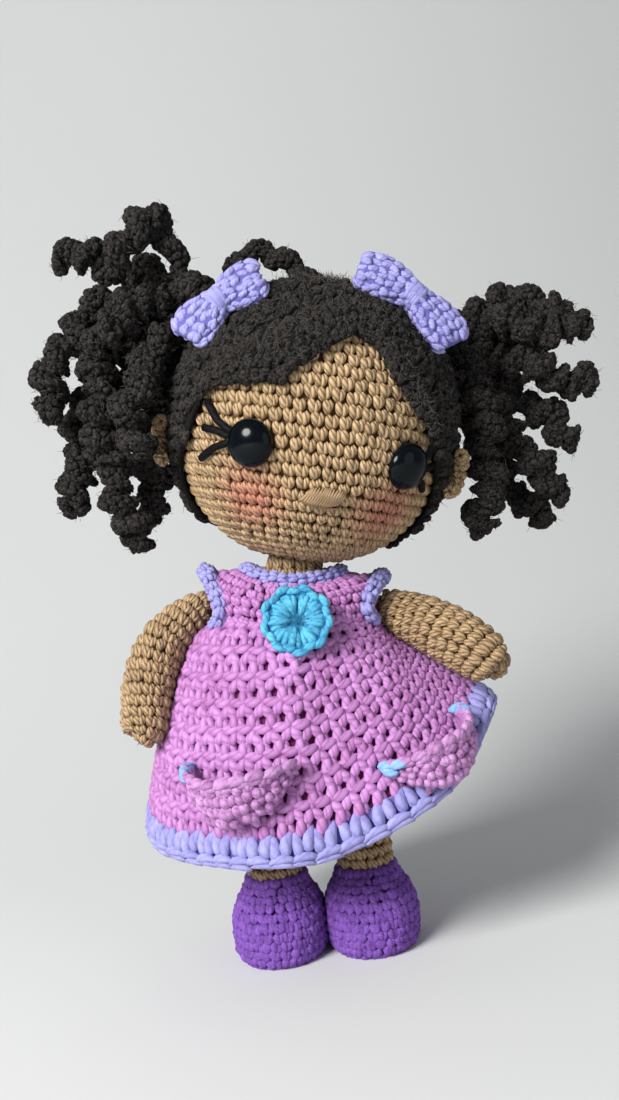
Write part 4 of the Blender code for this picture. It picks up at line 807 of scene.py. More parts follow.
SPINE_START, SPINE_TOP, SPINE_BEND = 60.0 * MM, 106.0 * MM, math.radians(10.0)
HEAD_RADIUS, HEAD_POWER, HEAD_OPENING = 36.4 * MM, 2.0 / 0.94, math.radians(163.0)
HEAD_TILT, HEAD_TURN, HEAD_NOD = math.radians(14.0), math.radians(12.0), math.radians(3.0)
NECK_TO_HEAD = 34.9 * MM
CAP_RISE = 2.9 * MM
WAIST_HEIGHT, BODICE_TOP, HEM_HEIGHT, HEM_LIFT = 88.0 * MM, 101.6 * MM, 33.0 * MM, 29.0 * MM
BODICE_WIDE, BODICE_DEEP, BODICE_SIDE = 22.6 * MM, 18.6 * MM, 23.6 * MM
NECKLINE_WIDE, NECKLINE_DEEP, SHOULDER_WIDE = 13.6 * MM, 12.4 * MM, 19.4 * MM
HEM_LEFT, HEM_RIGHT, HEM_BACK, HEM_FRONT = 52.0 * MM, 45.5 * MM, 37.0 * MM, 38.5 * MM
HEM_FOLD, HEM_TUCK, HEM_BAND, FOLDS = 1.0 * MM, 6.0 * MM, 7.1 * MM, 7


def bent(points: np.ndarray) -> np.ndarray:
    """Bend points of the upright body with the spine.

    Args:
        points: Points of the upright body.

    Returns:
        Where they go.
    """
    share = np.maximum((points[..., 2] - SPINE_START) / (SPINE_TOP - SPINE_START), 0.0)
    angle = SPINE_BEND * share * share
    drift = (SPINE_TOP - SPINE_START) * SPINE_BEND * share ** 3 / 3.0
    across = points[..., 0]
    return np.stack((drift + across * np.cos(angle), points[..., 1], points[..., 2] - across * np.sin(angle)), axis=-1)


NECK = bent(np.array((0.0, 0.0, SPINE_TOP)))
HEAD_POSE = np.array((Matrix.Rotation(HEAD_TILT, 3, "Y") @ Matrix.Rotation(HEAD_TURN, 3, "Z")
                      @ Matrix.Rotation(HEAD_NOD, 3, "X")))
HEAD_CENTRE = NECK + HEAD_POSE @ np.array((0.0, 0.0, NECK_TO_HEAD))


def head_skin(u: np.ndarray, v: np.ndarray, offset: float = 0.0) -> np.ndarray:
    """Return points on the head.

    Args:
        u: Angles round it from the face towards the doll's left.
        v: Angles down from the crown.
        offset: How far outside the head.

    Returns:
        The points.
    """
    girth = np.abs(np.sin(v)) ** HEAD_POWER + np.abs(np.cos(v)) ** HEAD_POWER
    reach = HEAD_RADIUS / girth ** (1.0 / HEAD_POWER) + offset
    spot = np.stack((np.sin(v) * np.sin(u), -np.sin(v) * np.cos(u), np.cos(v)), axis=-1) * reach[..., None]
    return spot @ HEAD_POSE.T + HEAD_CENTRE


def head_spot(azimuth: float, polar: float, offset: float = 0.0) -> np.ndarray:
    """Return one point on the head, from angles in degrees."""
    return head_skin(np.radians([azimuth]), np.radians([polar]), offset)[0]


def lifted(u: np.ndarray) -> np.ndarray:
    """Return how much of the hem's lift applies at angles from the doll's left."""
    towards = np.maximum(np.cos(u), 0.0)
    return 0.75 * towards ** 1.5 + 0.25 * towards ** 12


def skirt(u: np.ndarray, v: np.ndarray) -> np.ndarray:
    """Return points on the skirt's outside, down from the waist at 0 to the hem's end at 1."""
    side, depth = np.cos(u), np.sin(u)
    share = np.maximum(v, 0.0)
    lift = lifted(u)
    spread = share ** (0.53 + 0.8 * lift ** 0.5)
    fold = HEM_FOLD * share * np.cos(FOLDS * u)
    wide = np.where(side > 0.0, HEM_LEFT, HEM_RIGHT)
    deep = np.where(depth > 0.0, HEM_BACK, HEM_FRONT)
    across = BODICE_WIDE + (wide - BODICE_WIDE) * spread + fold
    fore = BODICE_DEEP + (deep - BODICE_DEEP) * spread + fold
    hem = HEM_HEIGHT + HEM_LIFT * lift + HEM_TUCK * np.maximum(-side, 0.0) ** 8
    height = WAIST_HEIGHT + (hem - WAIST_HEIGHT) * v
    return bent(np.stack((across * side, fore * depth, height), axis=-1))


def pink_end(u: np.ndarray) -> np.ndarray:
    """Return the share of the skirt at which its edging begins."""
    length = np.linalg.norm(skirt(u, np.ones_like(u)) - skirt(u, np.full_like(u, 0.8)), axis=-1)
    return 1.0 - 0.2 * HEM_BAND / length


def bodice(u: np.ndarray, v: np.ndarray) -> np.ndarray:
    """Return points on the bodice, down from the neckline at 0 to the waist at 1."""
    span = BODICE_TOP - WAIST_HEIGHT
    keys = (0.0, 0.3, 0.5, 0.75, 1.0)
    table = np.array(((NECKLINE_WIDE, NECKLINE_DEEP, BODICE_TOP - 0.05 * span, BODICE_TOP - 0.23 * span),
                      (SHOULDER_WIDE, BODICE_DEEP * 0.82, BODICE_TOP - 0.05 * span, BODICE_TOP - 0.34 * span),
                      (BODICE_SIDE, BODICE_DEEP * 0.93, BODICE_TOP - 0.16 * span, BODICE_TOP - 0.50 * span),
                      (BODICE_SIDE, BODICE_DEEP * 0.985, BODICE_TOP - 0.55 * span, BODICE_TOP - 0.72 * span),
                      (BODICE_WIDE, BODICE_DEEP, WAIST_HEIGHT, WAIST_HEIGHT)))
    across, fore, side, front = (np.interp(v, keys, table[:, column]) for column in range(4))
    height = front + (side - front) * np.cos(u) ** 2
    return bent(np.stack((across * np.cos(u), fore * np.sin(u), height), axis=-1))


class Tube:
    """A surface round a path, closed at both ends by its own radii."""

    def __init__(self, centres: np.ndarray, radii: np.ndarray) -> None:
        """Carry a frame along the path.

        Args:
            centres: Points of the path.
            radii: The radius at each.
        """
        self.centres, self.radii = centres, radii
        along = unit(np.gradient(centres, axis=0))
        side = unit(np.cross(along[0], np.array((0.3, 0.9, 0.2))))
        sides = []
        for direction in along:
            side = unit(side - direction * (side @ direction))
            sides.append(side)
        self.sides = np.array(sides)
        self.rises = np.cross(self.sides, along)
        steps = np.hypot(np.linalg.norm(np.diff(centres, axis=0), axis=1), np.diff(radii))
        self.length = float(steps.sum())
        self.keys = np.concatenate(((0.0,), np.cumsum(steps))) / self.length

    def read(self, table: np.ndarray, v: np.ndarray) -> np.ndarray:
        """Return a table's value at shares of the path."""
        if table.ndim == 1:
            return np.interp(v, self.keys, table)
        return np.stack([np.interp(v, self.keys, table[:, axis]) for axis in range(3)], axis=-1)

    def __call__(self, u: np.ndarray, v: np.ndarray) -> np.ndarray:
        """Return points at angles round the path and shares along it."""
        radius = self.read(self.radii, v)[..., None]
        return (self.read(self.centres, v) + unit(self.read(self.sides, v)) * radius * np.cos(u)[..., None]
                + unit(self.read(self.rises, v)) * radius * np.sin(u)[..., None])


def trace(node: str, start: np.ndarray) -> tuple[np.ndarray, np.ndarray]:
    """Follow a CAD tube from the end nearest to a point, ring by ring.

    Args:
        node: The CAD node.
        start: A point near its first end, in the doll's frame.

    Returns:
        The rings' centres and mean radii.
    """
    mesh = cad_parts[node].data
    flat = np.empty(len(mesh.vertices) * 3)
    mesh.vertices.foreach_get("co", flat)
    points, index = np.unique(np.round(flat.reshape(-1, 3), 6), axis=0, return_inverse=True)
    points = points - AXIS
    edges = np.array([index.ravel()[list(edge.vertices)] for edge in mesh.edges])
    near: list[set[int]] = [set() for _ in points]
    for first, second in edges:
        near[first].add(int(second))
        near[second].add(int(first))
    nearest = int(np.linalg.norm(points - start, axis=1).argmin())
    level = {nearest}
    if len(near[nearest]) < 8:
        ring = sorted(near[nearest], key=lambda spot: np.linalg.norm(points[spot] - points[nearest]))
        level |= {spot for spot in ring if np.linalg.norm(points[spot] - start) < np.linalg.norm(
            points[ring[-1]] - start) - 0.2 * MM}
    seen, rings, centres, radii = set(level), [], [], []
    while level:
        spots = points[sorted(level)]
        rings.append(spots)
        centres.append(spots.mean(axis=0))
        level = {spot for place in level for spot in near[place]} - seen
        seen |= level
    for spots, centre, along in zip(rings, centres, unit(np.gradient(np.array(centres), axis=0))):
        away = spots - centre
        radii.append(float(np.linalg.norm(away - np.outer(away @ along, along), axis=1).mean()))
    return np.array(centres), np.array(radii)


# Sub-assemblies


@dataclass
class StuffedLimb:
    """A crocheted arm or leg over its filling."""

    name: str
    root: np.ndarray
    fabric: Fabric
    lowest: float = 18.5 * MM
    wall: float = 2.3 * MM
    pitch: float = 3.3 * MM
    row: float = 3.0 * MM

    def surface(self) -> Tube:
        """Return the limb's outside, worked out from what fills it."""
        centres, radii = trace(f"{self.name}_stuffing", self.root)
        ends = unit(np.array((centres[0] - centres[1], centres[-1] - centres[-2]))) * self.wall
        centres = np.concatenate(((centres[0] + ends[0],), centres[1:-1], (centres[-1] + ends[1],)))
        radii = np.concatenate(((0.0,), radii[1:-1] + self.wall, (0.0,)))
        dense = np.linspace(0.0, 1.0, 60)
        coarse = Tube(centres, radii)
        return Tube(coarse.read(centres, dense), coarse.read(radii, dense))

    def build(self) -> None:
        """Build the stuffed form and its rounds of stitches."""
        skin = self.surface()
        form = round_form(offset_surface(skin, -1.5 * MM), 28, 40)
        self.fabric.form(form, f"{self.name}_form", self.name, f"{self.name}_stuffing")
        places = rounds(skin, 0.03, 0.97, self.pitch, self.row)
        places = places.only(skin(places.u, places.v)[:, 2] > self.lowest)
        self.fabric.strands(work(skin, places, SINGLE, scale=0.96), f"{self.name}_stitches")


@dataclass
class Head:
    """The crocheted head with its safety eyes, lashes, nose and ears."""

    fabric: Fabric
    hidden: Callable[[np.ndarray, np.ndarray], np.ndarray]
    eyes: dict[str, float] = field(default_factory=lambda: {"right": -34.5, "left": 30.5})
    eye_polar: float = 102.0
    eye_radius: float = 6.0 * MM
    eye_dome: float = 4.6 * MM
    nose: tuple[float, float] = (-3.0, 119.0)
    pitch: float = 3.4 * MM
    row: float = 3.25 * MM

    def build(self) -> None:
        """Build all of the head but its hair."""
        form = round_form(self.hollowed, 64, 60)
        self.fabric.form(form, "head", "head_shell", "head_stuffing")
        places = rounds(head_skin, math.radians(2.0), HEAD_OPENING, self.pitch, self.row, drift=0.36, multiple=6)
        places = places.only(~self.hidden(places.u, places.v) & self.clear_of_face(places.u, places.v))
        self.fabric.strands(work(head_skin, places, SINGLE, uneven=0.06), "head_stitches")
        self.build_eyes()
        self.build_lashes()
        self.build_nose()
        self.build_ears()

    def hollowed(self, u: np.ndarray, v: np.ndarray) -> np.ndarray:
        """Return the stuffed ball, from its crown at 0 over the neck's opening to the hollow's end at 1."""
        ball = head_skin(u, np.minimum(v / 0.84, 1.0) * math.radians(162.8), -1.5 * MM)
        rim = (ball - HEAD_CENTRE) @ HEAD_POSE
        reach = np.hypot(rim[..., 0], rim[..., 1]) * np.interp(v, (0.84, 0.96, 1.0), (1.0, 1.0, 0.0))
        rise = rim[..., 2] + np.interp(v, (0.84, 0.96, 1.0), (0.0, 13.0, 13.5)) * MM
        inner = np.stack((reach * np.sin(u), -reach * np.cos(u), rise), axis=-1) @ HEAD_POSE.T + HEAD_CENTRE
        return np.where((v < 0.84)[..., None], ball, inner)

    def clear_of_face(self, u: np.ndarray, v: np.ndarray) -> np.ndarray:
        """Return which places aren't covered by an eye."""
        keep = np.ones(len(u), dtype=bool)
        spots = head_skin(u, v)
        for azimuth in self.eyes.values():
            keep &= np.linalg.norm(spots - head_spot(azimuth, self.eye_polar), axis=1) > self.eye_radius - 1.6 * MM
        return keep

    def frame_at(self, azimuth: float, polar: float) -> tuple[np.ndarray, np.ndarray, np.ndarray, np.ndarray]:
        """Return a spot on the head with the directions across, up and out there."""
        spot = head_spot(azimuth, polar)
        out = normals_of(head_skin, np.radians([azimuth]), np.radians([polar]))[0]
        across = unit(head_spot(azimuth + 1.0, polar) - head_spot(azimuth - 1.0, polar))
        return spot, across, np.cross(out, across), out

    def build_eyes(self) -> None:
        """Build the domed eyes, each with its shank and washer."""
        gloss = Plain("glossy_eye_plastic", (0.001, 0.0025, 0.004), 0.15, grain=90.0, vary=0.1, bump=0.0,
                      roughen=0.02, shine=0.16).material()
        moulded = Plain("washer_plastic", (0.75, 0.75, 0.73), 0.45, grain=500.0, vary=0.05, bump=0.1).material()
        for side, azimuth in self.eyes.items():
            spot, across, up, out = self.frame_at(azimuth, self.eye_polar)
            dome = self.eye_dome
            profile = [(0.0, dome), *[(self.eye_radius * math.sin(t), 0.9 * MM + (dome - 0.9 * MM) * math.cos(t))
                                      for t in np.radians((8, 16, 25, 35, 45, 55, 65, 74, 82, 88))],
                       (self.eye_radius, 0.7 * MM), (self.eye_radius - 0.15 * MM, 0.4 * MM),
                       (self.eye_radius - 0.5 * MM, 0.3 * MM), (1.6 * MM, 0.3 * MM), (1.6 * MM, -7.3 * MM),
                       (1.4 * MM, -7.5 * MM), (0.0, -7.5 * MM)]
            form = self.turned(profile, spot, across, up, out)
            dress_piece(form, f"eye_{side}_dome", gloss, "head", (f"eye_{side}",))
            top = -3.1 * MM
            ring = [(1.75 * MM, top), (4.6 * MM, top), (4.8 * MM, top - 0.2 * MM), (4.8 * MM, top - 0.8 * MM),
                    (4.6 * MM, top - 1.0 * MM), (1.75 * MM, top - 1.0 * MM), (1.75 * MM, top)]
            washer = self.turned(ring, spot, across, up, out)
            dress_piece(washer, f"eye_{side}_washer", moulded, "head", (f"eye_washer_{side}",))

    def turned(self, profile: Sequence[tuple[float, float]], spot: np.ndarray, across: np.ndarray, up: np.ndarray,
               out: np.ndarray) -> bpy.types.Object:
        """Turn a profile round the direction out of a spot.

        Args:
            profile: Radii and heights.
            spot: The spot.
            across: The direction across.
            up: The direction up.
            out: The direction out.

        Returns:
            The turned form.
        """
        deselect()
        steps = len(profile) - 1
        bpy.ops.mesh.primitive_grid_add(x_subdivisions=40, y_subdivisions=steps, size=2.0)
        piece = bpy.context.object
        share = (coordinates(piece)[:, :2] + 1.0) / 2.0
        radius, height = np.array(profile)[np.rint(share[:, 1] * steps).astype(int)].T[..., None]
        angle = share[:, :1] * TAU
        move_points(piece, spot + across * radius * np.cos(angle) + up * radius * np.sin(angle) + out * height)
        in_edit_mode(piece, lambda: bpy.ops.mesh.remove_doubles(threshold=1e-6), face_outwards)
        return piece

    def build_lashes(self) -> None:
        """Build three lashes of cord at the outer corner of each eye."""
        finish = Yarn("lash_yarn", (0.0015, 0.0015, 0.002), (0.005, 0.005, 0.007), 0.6, sheen=0.0, plies=2.0,
                      turns=7.0, fibre=0.3, shine=0.1).material()
        fans = {"right": (((-41.0, 99.5), (-50.0, 95.0), (-57.0, 88.0)),
                          ((-41.5, 101.0), (-50.0, 98.8), (-57.5, 98.0)),
                          ((-41.5, 102.0), (-51.0, 105.0), (-60.0, 110.0))),
                "left": (((37.0, 99.0), (41.5, 96.0), (45.0, 91.0)),
                         ((37.5, 102.0), (42.5, 101.0), (46.5, 100.0)),
                         ((37.0, 105.0), (42.0, 107.0), (45.5, 110.0)))}
        for side, lashes in fans.items():
            centres, ups, radii = [], [], []
            share = np.linspace(0.0, 1.0, 5)
            for lash in lashes:
                azimuth, polar = (np.radians(np.interp(share, (0.0, 0.5, 1.0), row)) for row in zip(*lash))
                centres.append(head_skin(azimuth, polar, 1.1 * MM))
                ups.append(normals_of(head_skin, azimuth, polar))
                radii.append(np.array((1.15, 1.0, 0.95, 1.05, 1.25)) * MM)
            piece = STRAND.copies(np.array(centres), np.array(ups), np.array(radii), 0.85)
            dress_piece(piece, f"lash_cords_{side}", finish, "head", (f"lashes_{side}",))

    def build_nose(self) -> None:
        """Build the satin-stitched nose from laid threads."""
        spot, across, up, out = self.frame_at(*self.nose)
        centres, ups, radii = [], [], []
        count = 15
        for index in range(count):
            share = -1.0 + 2.0 * (index + 0.5) / count
            half = (2.35 * max(1.0 - share * share, 0.0) ** 0.22 + 0.3) * MM
            wobble = 0.25 * math.sin(5.3 * index)
            spots = [spot + across * (share * 4.6 * MM + (1.3 + wobble) * place * MM)
                     + up * (half * place + 0.12 * wobble * MM)
                     + out * (0.35 + (1.75 - 0.8 * share * share) * math.sqrt(1.0 - 0.9 * place * place)) * MM
                     for place in np.linspace(-1.0, 1.0, 5)]
            centres.append(spots)
            ups.append([out] * 5)
            radii.append([0.34 * MM, 0.46 * MM, 0.48 * MM, 0.46 * MM, 0.34 * MM])
        crease = np.linspace(-1.0, 1.0, 5)
        centres.append([spot + across * (place * 5.2 - 0.6) * MM + out * 0.05 * MM
                        - up * (2.9 - 0.9 * place * place + 0.9 * place) * MM for place in crease])
        ups.append([out] * 5)
        radii.append([0.25 * MM, 0.42 * MM, 0.45 * MM, 0.42 * MM, 0.25 * MM])
        piece = STRAND.copies(np.array(centres), np.array(ups), np.array(radii), 0.9)
        thread = Yarn("nose_thread", (0.09, 0.045, 0.018), (0.42, 0.285, 0.155), 0.6, sheen=0.1, plies=2.0,
                      turns=3.0, fibre=0.5, bump=0.8)
        dress_piece(piece, "nose_threads", thread.material(), "head", ("nose",))

    def build_ears(self) -> None:
        """Build the two crocheted ears, each a bent roll."""
        for side, (azimuth, polar) in {"right": (-86.0, 103.0), "left": (60.0, 100.0)}.items():
            forward = 1.0 if side == "right" else -1.0
            turn = np.radians(np.linspace(-105.0, 105.0, 25))
            arc = 4.4 * MM / HEAD_RADIUS
            centres = head_skin(np.radians(azimuth) - forward * arc * np.cos(turn),
                                np.radians(polar) + arc * np.sin(turn), 4.9 * MM)
            share = np.linspace(0.0, 1.0, 25)
            radii = 1.9 * MM * np.sqrt(np.clip(1.0 - np.abs(2.0 * share - 1.0) ** 6, 0.0, 1.0))
            roll = Tube(centres, radii)
            form = round_form(offset_surface(roll, -0.8 * MM), 14, 24)
            self.fabric.form(form, f"ear_{side}_roll", f"ear_{side}")
            places = rounds(roll, 0.06, 0.94, 2.9 * MM, 2.6 * MM)
            self.fabric.strands(work(roll, places, SINGLE, lift=0.25, scale=0.75), f"ear_{side}_stitches")


@dataclass
class Hair:
    """The hair cap, the two swept fringes and the bunches of curls."""

    yarn: bpy.types.Material
    # Near-black finish on the forms under the hair's stitches: painted shade in the gaps between them.
    shaded_ground: bpy.types.Material
    loose: bpy.types.Material
    fluff: float = 0.3 * MM
    crown_curl: int = 17
    hairline: tuple[tuple[float, float], ...] = (
        (-180, 143), (-120, 141), (-96, 136), (-88, 124), (-78, 111), (-68, 103), (-61, 88), (-45, 66), (-25, 51),
        (-10, 41), (2, 36), (10, 42), (24, 60), (34, 77), (41, 91), (52, 104), (64, 117), (76, 128), (92, 138),
        (120, 141), (180, 143))
    lower: dict[str, tuple[tuple[float, float], ...]] = field(default_factory=lambda: {
        "right": ((-60.5, 90.5), (-55, 84), (-45, 82), (-25, 79), (-21, 74), (-9, 63), (1.5, 56)),
        "left": ((1.5, 56), (10, 60), (16, 70), (24, 77), (36, 88), (40, 92))})

    def fabric(self, body: str, slot: Slot = Slot.HAIR) -> Fabric:
        """Return the hair's crochet on a body."""
        return Fabric(self.yarn, self.shaded_ground, slot, body)

    def edge(self, u: np.ndarray, table: Sequence[tuple[float, float]] | None = None) -> np.ndarray:
        """Return the polar angle of the hairline, or of another edge, at angles round the head."""
        keys, values = np.array(table or self.hairline, dtype=float).T
        return np.radians(np.interp(np.degrees((u + math.pi) % TAU - math.pi), keys, values))

    def covered(self, u: np.ndarray, v: np.ndarray) -> np.ndarray:
        """Return which places on the head lie under hair."""
        return v < self.edge(u) - math.radians(5.0)

    @staticmethod
    def outside(u: np.ndarray, v: np.ndarray) -> np.ndarray:
        """Return points on the cap's outside by azimuth and polar angle."""
        return head_skin(u, v, CAP_RISE)

    def cap(self, u: np.ndarray, v: np.ndarray) -> np.ndarray:
        """Return points just outside the cap, from the crown at 0 to its edge at 1."""
        return head_skin(u, v * self.edge(u), CAP_RISE + self.fluff)

    def build(self) -> None:
        """Build all of the hair."""
        form = cloth_form(lambda u, v: head_skin(u, np.maximum(v, 1e-3) * self.edge(u), 2.0 * MM), FULL_TURN,
                          (0.0, 1.0), 96, 36, 1.1 * MM, True)
        self.fabric("head").form(form, "hair_cap_ground", "hair_cap")
        ladder = rounds(self.outside, math.radians(3.0), math.radians(143.0), 4.0 * MM, 3.5 * MM)
        places = ladder.only(ladder.v < self.edge(ladder.u) - math.radians(1.5))
        bulk = work(self.outside, places, BOBBLE, lift=-0.5, uneven=0.11, flat=0.85, scale=0.88)
        self.fabric("head").strands(bulk, "hair_cap_stitches")
        dress_piece(fibres(self.cap, 2000, 1.2 * MM), "hair_cap_fibres", self.loose, "head")
        for side, (start, end) in {"right": (-60.0, 1.1), "left": (1.9, 38.5)}.items():
            self.build_fringe(side, math.radians(start), math.radians(end))
        for side in ("right", "left"):
            low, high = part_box(f"hair_tie_{side}")
            root = np.array((low + high) / 2.0) - AXIS
            self.build_tie(side, root)
            for number in range(1, 9):
                self.build_curl(f"curl_{side}_{number}", root, f"pigtail_{side}", number)
        self.build_curl("curl_crown", HEAD_CENTRE + np.array((-20.0, 12.0, 38.0)) * MM, "head", self.crown_curl)

    def build_fringe(self, side: str, start: float, end: float) -> None:
        """Build one swept panel of the fringe.

        Args:
            side: The doll's own side.
            start: The angle at which it starts.
            end: The angle at which it ends.
        """
        def panel(u: np.ndarray, v: np.ndarray) -> np.ndarray:
            """Return points on the panel, from the hairline at 0 to its lower edge at 1."""
            upper = self.edge(u) - 0.03
            below = np.maximum(self.edge(u, self.lower[side]), upper + 0.02)
            crown = np.sin(math.pi * np.clip(0.12 + 0.76 * v, 0.0, 1.0))
            return head_skin(u, upper + (below - upper) * v, (1.2 + 3.0 * crown) * MM)

        columns = 18 if side == "right" else 11
        form = cloth_form(offset_surface(panel, -0.9 * MM), (start, end), (0.0, 1.0), 40, 10, 0.8 * MM, False)
        self.fabric("head").form(form, f"fringe_{side}_ground", f"fringe_{side}")
        places = patch_rows((start, end), (0.02, 1.0), columns, 5)
        stitches = work(panel, places, BOBBLE, lift=-0.6, uneven=0.11, flat=0.85, scale=0.86)
        self.fabric("head").strands(stitches, f"fringe_{side}_stitches")
        fuzz = fibres(panel, columns * 24, 1.2 * MM, (start, end))
        dress_piece(fuzz, f"fringe_{side}_fibres", self.loose, "head")

    def build_tie(self, side: str, root: np.ndarray) -> None:
        """Build the gathered root of a bunch.

        Args:
            side: The doll's own side.
            root: Its centre.
        """
        def knot(u: np.ndarray, v: np.ndarray) -> np.ndarray:
            """Return points on the knot."""
            polar = v * math.pi
            spot = np.stack((np.sin(polar) * np.cos(u), np.sin(polar) * np.sin(u), np.cos(polar)), axis=-1)
            return root + spot * 6.8 * MM

        tie = self.fabric(f"pigtail_{side}", Slot.TIE)
        tie.form(round_form(offset_surface(knot, -0.9 * MM), 24, 16), f"hair_tie_{side}_knot", f"hair_tie_{side}")
        stitches = work(knot, rounds(knot, 0.05, 0.95, 4.4 * MM, 4.0 * MM), BOBBLE, lift=-0.7)
        tie.strands(stitches, f"hair_tie_{side}_stitches")

    def build_curl(self, name: str, root: np.ndarray, body: str, number: int) -> None:
        """Build one corkscrew curl along its solid's path.

        Args:
            name: The CAD node's name.
            root: A point near its root.
            body: The body that it rides on.
            number: Turns its corkscrew, so that no two are alike.
        """
        centres, radii = trace(name, root)
        smooth = centres.copy()
        for _ in range(3):
            smooth[1:-1] = (smooth[:-2] + 2.0 * smooth[1:-1] + smooth[2:]) / 4.0
        tip = unit(smooth[-1] - smooth[-2]) * 2.2 * MM
        smooth = np.concatenate((smooth, (smooth[-1] + tip,)))
        radii = np.concatenate((radii, (0.0,)))
        coarse = Tube(smooth, np.zeros(len(smooth)))
        dense = np.linspace(0.0, 1.0, max(30, round(coarse.length / (0.55 * MM))))
        path = coarse.read(smooth, dense)
        along = dense * coarse.length
        left = coarse.length - along
        sway = (0.4 if number == self.crown_curl else 1.3) * MM * np.clip(along / (10.0 * MM), 0.0, 1.0)
        waves = TAU * along / (19.0 * MM) + number * 2.1
        path = (path + coarse.read(coarse.sides, dense) * (sway * np.sin(waves))[:, None]
                + coarse.read(coarse.rises, dense) * (sway * np.cos(0.8 * waves + number))[:, None])
        rise = {"curl_crown": 3.5, "curl_right_2": 8.5}.get(name, 0.0) * MM
        path[:, 2] += rise * np.sin(math.pi * np.clip(dense * 1.15, 0.0, 1.0)) ** 2
        slim = 0.72 if number == self.crown_curl else 1.0
        thick = (2.7 * MM + 1.4 * MM * np.clip(along / (9.0 * MM), 0.0, 1.0)) * slim * (
            1.0 + 0.08 * np.sin(TAU * along / (13.0 * MM) + 1.3 * number))
        thick *= np.sqrt(np.clip(1.0 - (1.0 - np.minimum(left, 3.9 * MM) / (3.9 * MM)) ** 2, 0.0, 1.0))
        thick[0] = 0.0
        core = Tube(path, thick)
        pitch, phase = (6.9 + 1.1 * math.sin(number * 2.7)) * MM, number * 1.7

        def corkscrew(u: np.ndarray, v: np.ndarray) -> np.ndarray:
            """Return points on the curl, with the groove of its corkscrew."""
            travelled = np.interp(v, core.keys, along)
            place = phase - TAU * travelled / pitch
            lobes = 0.70 + 0.42 * (0.5 - 0.5 * np.cos(u + place)) ** 0.5
            radius = core.read(core.radii, v) * lobes
            lean = core.read(core.radii, v) * 0.12
            side, rise = unit(core.read(core.sides, v)), unit(core.read(core.rises, v))
            return (core.read(core.centres, v) + side * (radius * np.cos(u) - lean * np.cos(place))[:, None]
                    + rise * (radius * np.sin(u) + lean * np.sin(place))[:, None])

        form = round_form(offset_surface(corkscrew, -0.7 * MM), 20, max(40, round(coarse.length / (0.8 * MM))))
        self.fabric(body).form(form, f"{name}_yarn", name)
        places = rounds(corkscrew, 0.02, 0.985, 2.15 * MM, 1.8 * MM, drift=0.31)
        stitches = work(corkscrew, places, BUMP, lift=-0.40, uneven=0.12, flat=0.5, scale=0.98)
        self.fabric(body).strands(stitches, f"{name}_stitches")
        fuzz = fibres(corkscrew, round(coarse.length / MM * 4.0), 1.1 * MM)
        dress_piece(fuzz, f"{name}_fibres", self.loose, body)


def eased_rows(table: Sequence[Sequence[float]], count: int = 60) -> np.ndarray:
    """Return rows spaced along a smooth curve through a table's rows."""
    rows = np.array(table, dtype=float)
    keys = np.concatenate(((0.0,), np.cumsum(np.maximum(np.linalg.norm(np.diff(rows, axis=0), axis=1), 1e-9))))
    slopes = np.gradient(rows, keys, axis=0)
    wanted = np.linspace(0.0, keys[-1], count)
    low = np.clip(np.searchsorted(keys, wanted, side="right") - 1, 0, len(keys) - 2)
    span = (keys[low + 1] - keys[low])[:, None]
    share = ((wanted - keys[low])[:, None]) / span
    cube, square = share ** 3, share ** 2
    return ((2 * cube - 3 * square + 1) * rows[low] + (cube - 2 * square + share) * span * slopes[low]
            + (3 * square - 2 * cube) * rows[low + 1] + (cube - square) * span * slopes[low + 1])


def ring_form(surface: Surface, segments: int, sides: int) -> bpy.types.Object:
    """Shape a ring into a closed band.

    Args:
        surface: Maps the angle round the roll and the angle round the ring to points.
        segments: Faces round the ring.
        sides: Faces round the roll.

    Returns:
        The band.
    """
    deselect()
    bpy.ops.mesh.primitive_torus_add(major_segments=segments, minor_segments=sides, major_radius=1.0,
                                     minor_radius=0.25)
    piece = bpy.context.object
    points = coordinates(piece)
    roll = np.arctan2(points[:, 2], np.hypot(points[:, 0], points[:, 1]) - 1.0)
    move_points(piece, surface(roll, np.arctan2(points[:, 1], points[:, 0])))
    in_edit_mode(piece, face_outwards)
    return piece


def laid_cords(paths: Sequence[np.ndarray], ups: Sequence[np.ndarray], radius: float) -> bpy.types.Object:
    """Lay single strands along short paths of five points.

    Args:
        paths: The paths.
        ups: The direction out of the fabric for each path.
        radius: The strands' radius.

    Returns:
        The strands as one piece.
    """
    centres = np.array(paths)
    raised = np.array([np.broadcast_to(up, (5, 3)) for up in ups])
    radii = np.tile(np.array((0.85, 1.0, 1.05, 1.0, 0.85)) * radius, (len(centres), 1))
    return STRAND.copies(centres, raised, radii)


def arched(start: np.ndarray, end: np.ndarray, out: np.ndarray, rise: float) -> np.ndarray:
    """Return five points of an arch between two points."""
    share = np.linspace(0.0, 1.0, 5)[:, None]
    return start + (end - start) * share + out * (4.0 * rise * share * (1.0 - share))


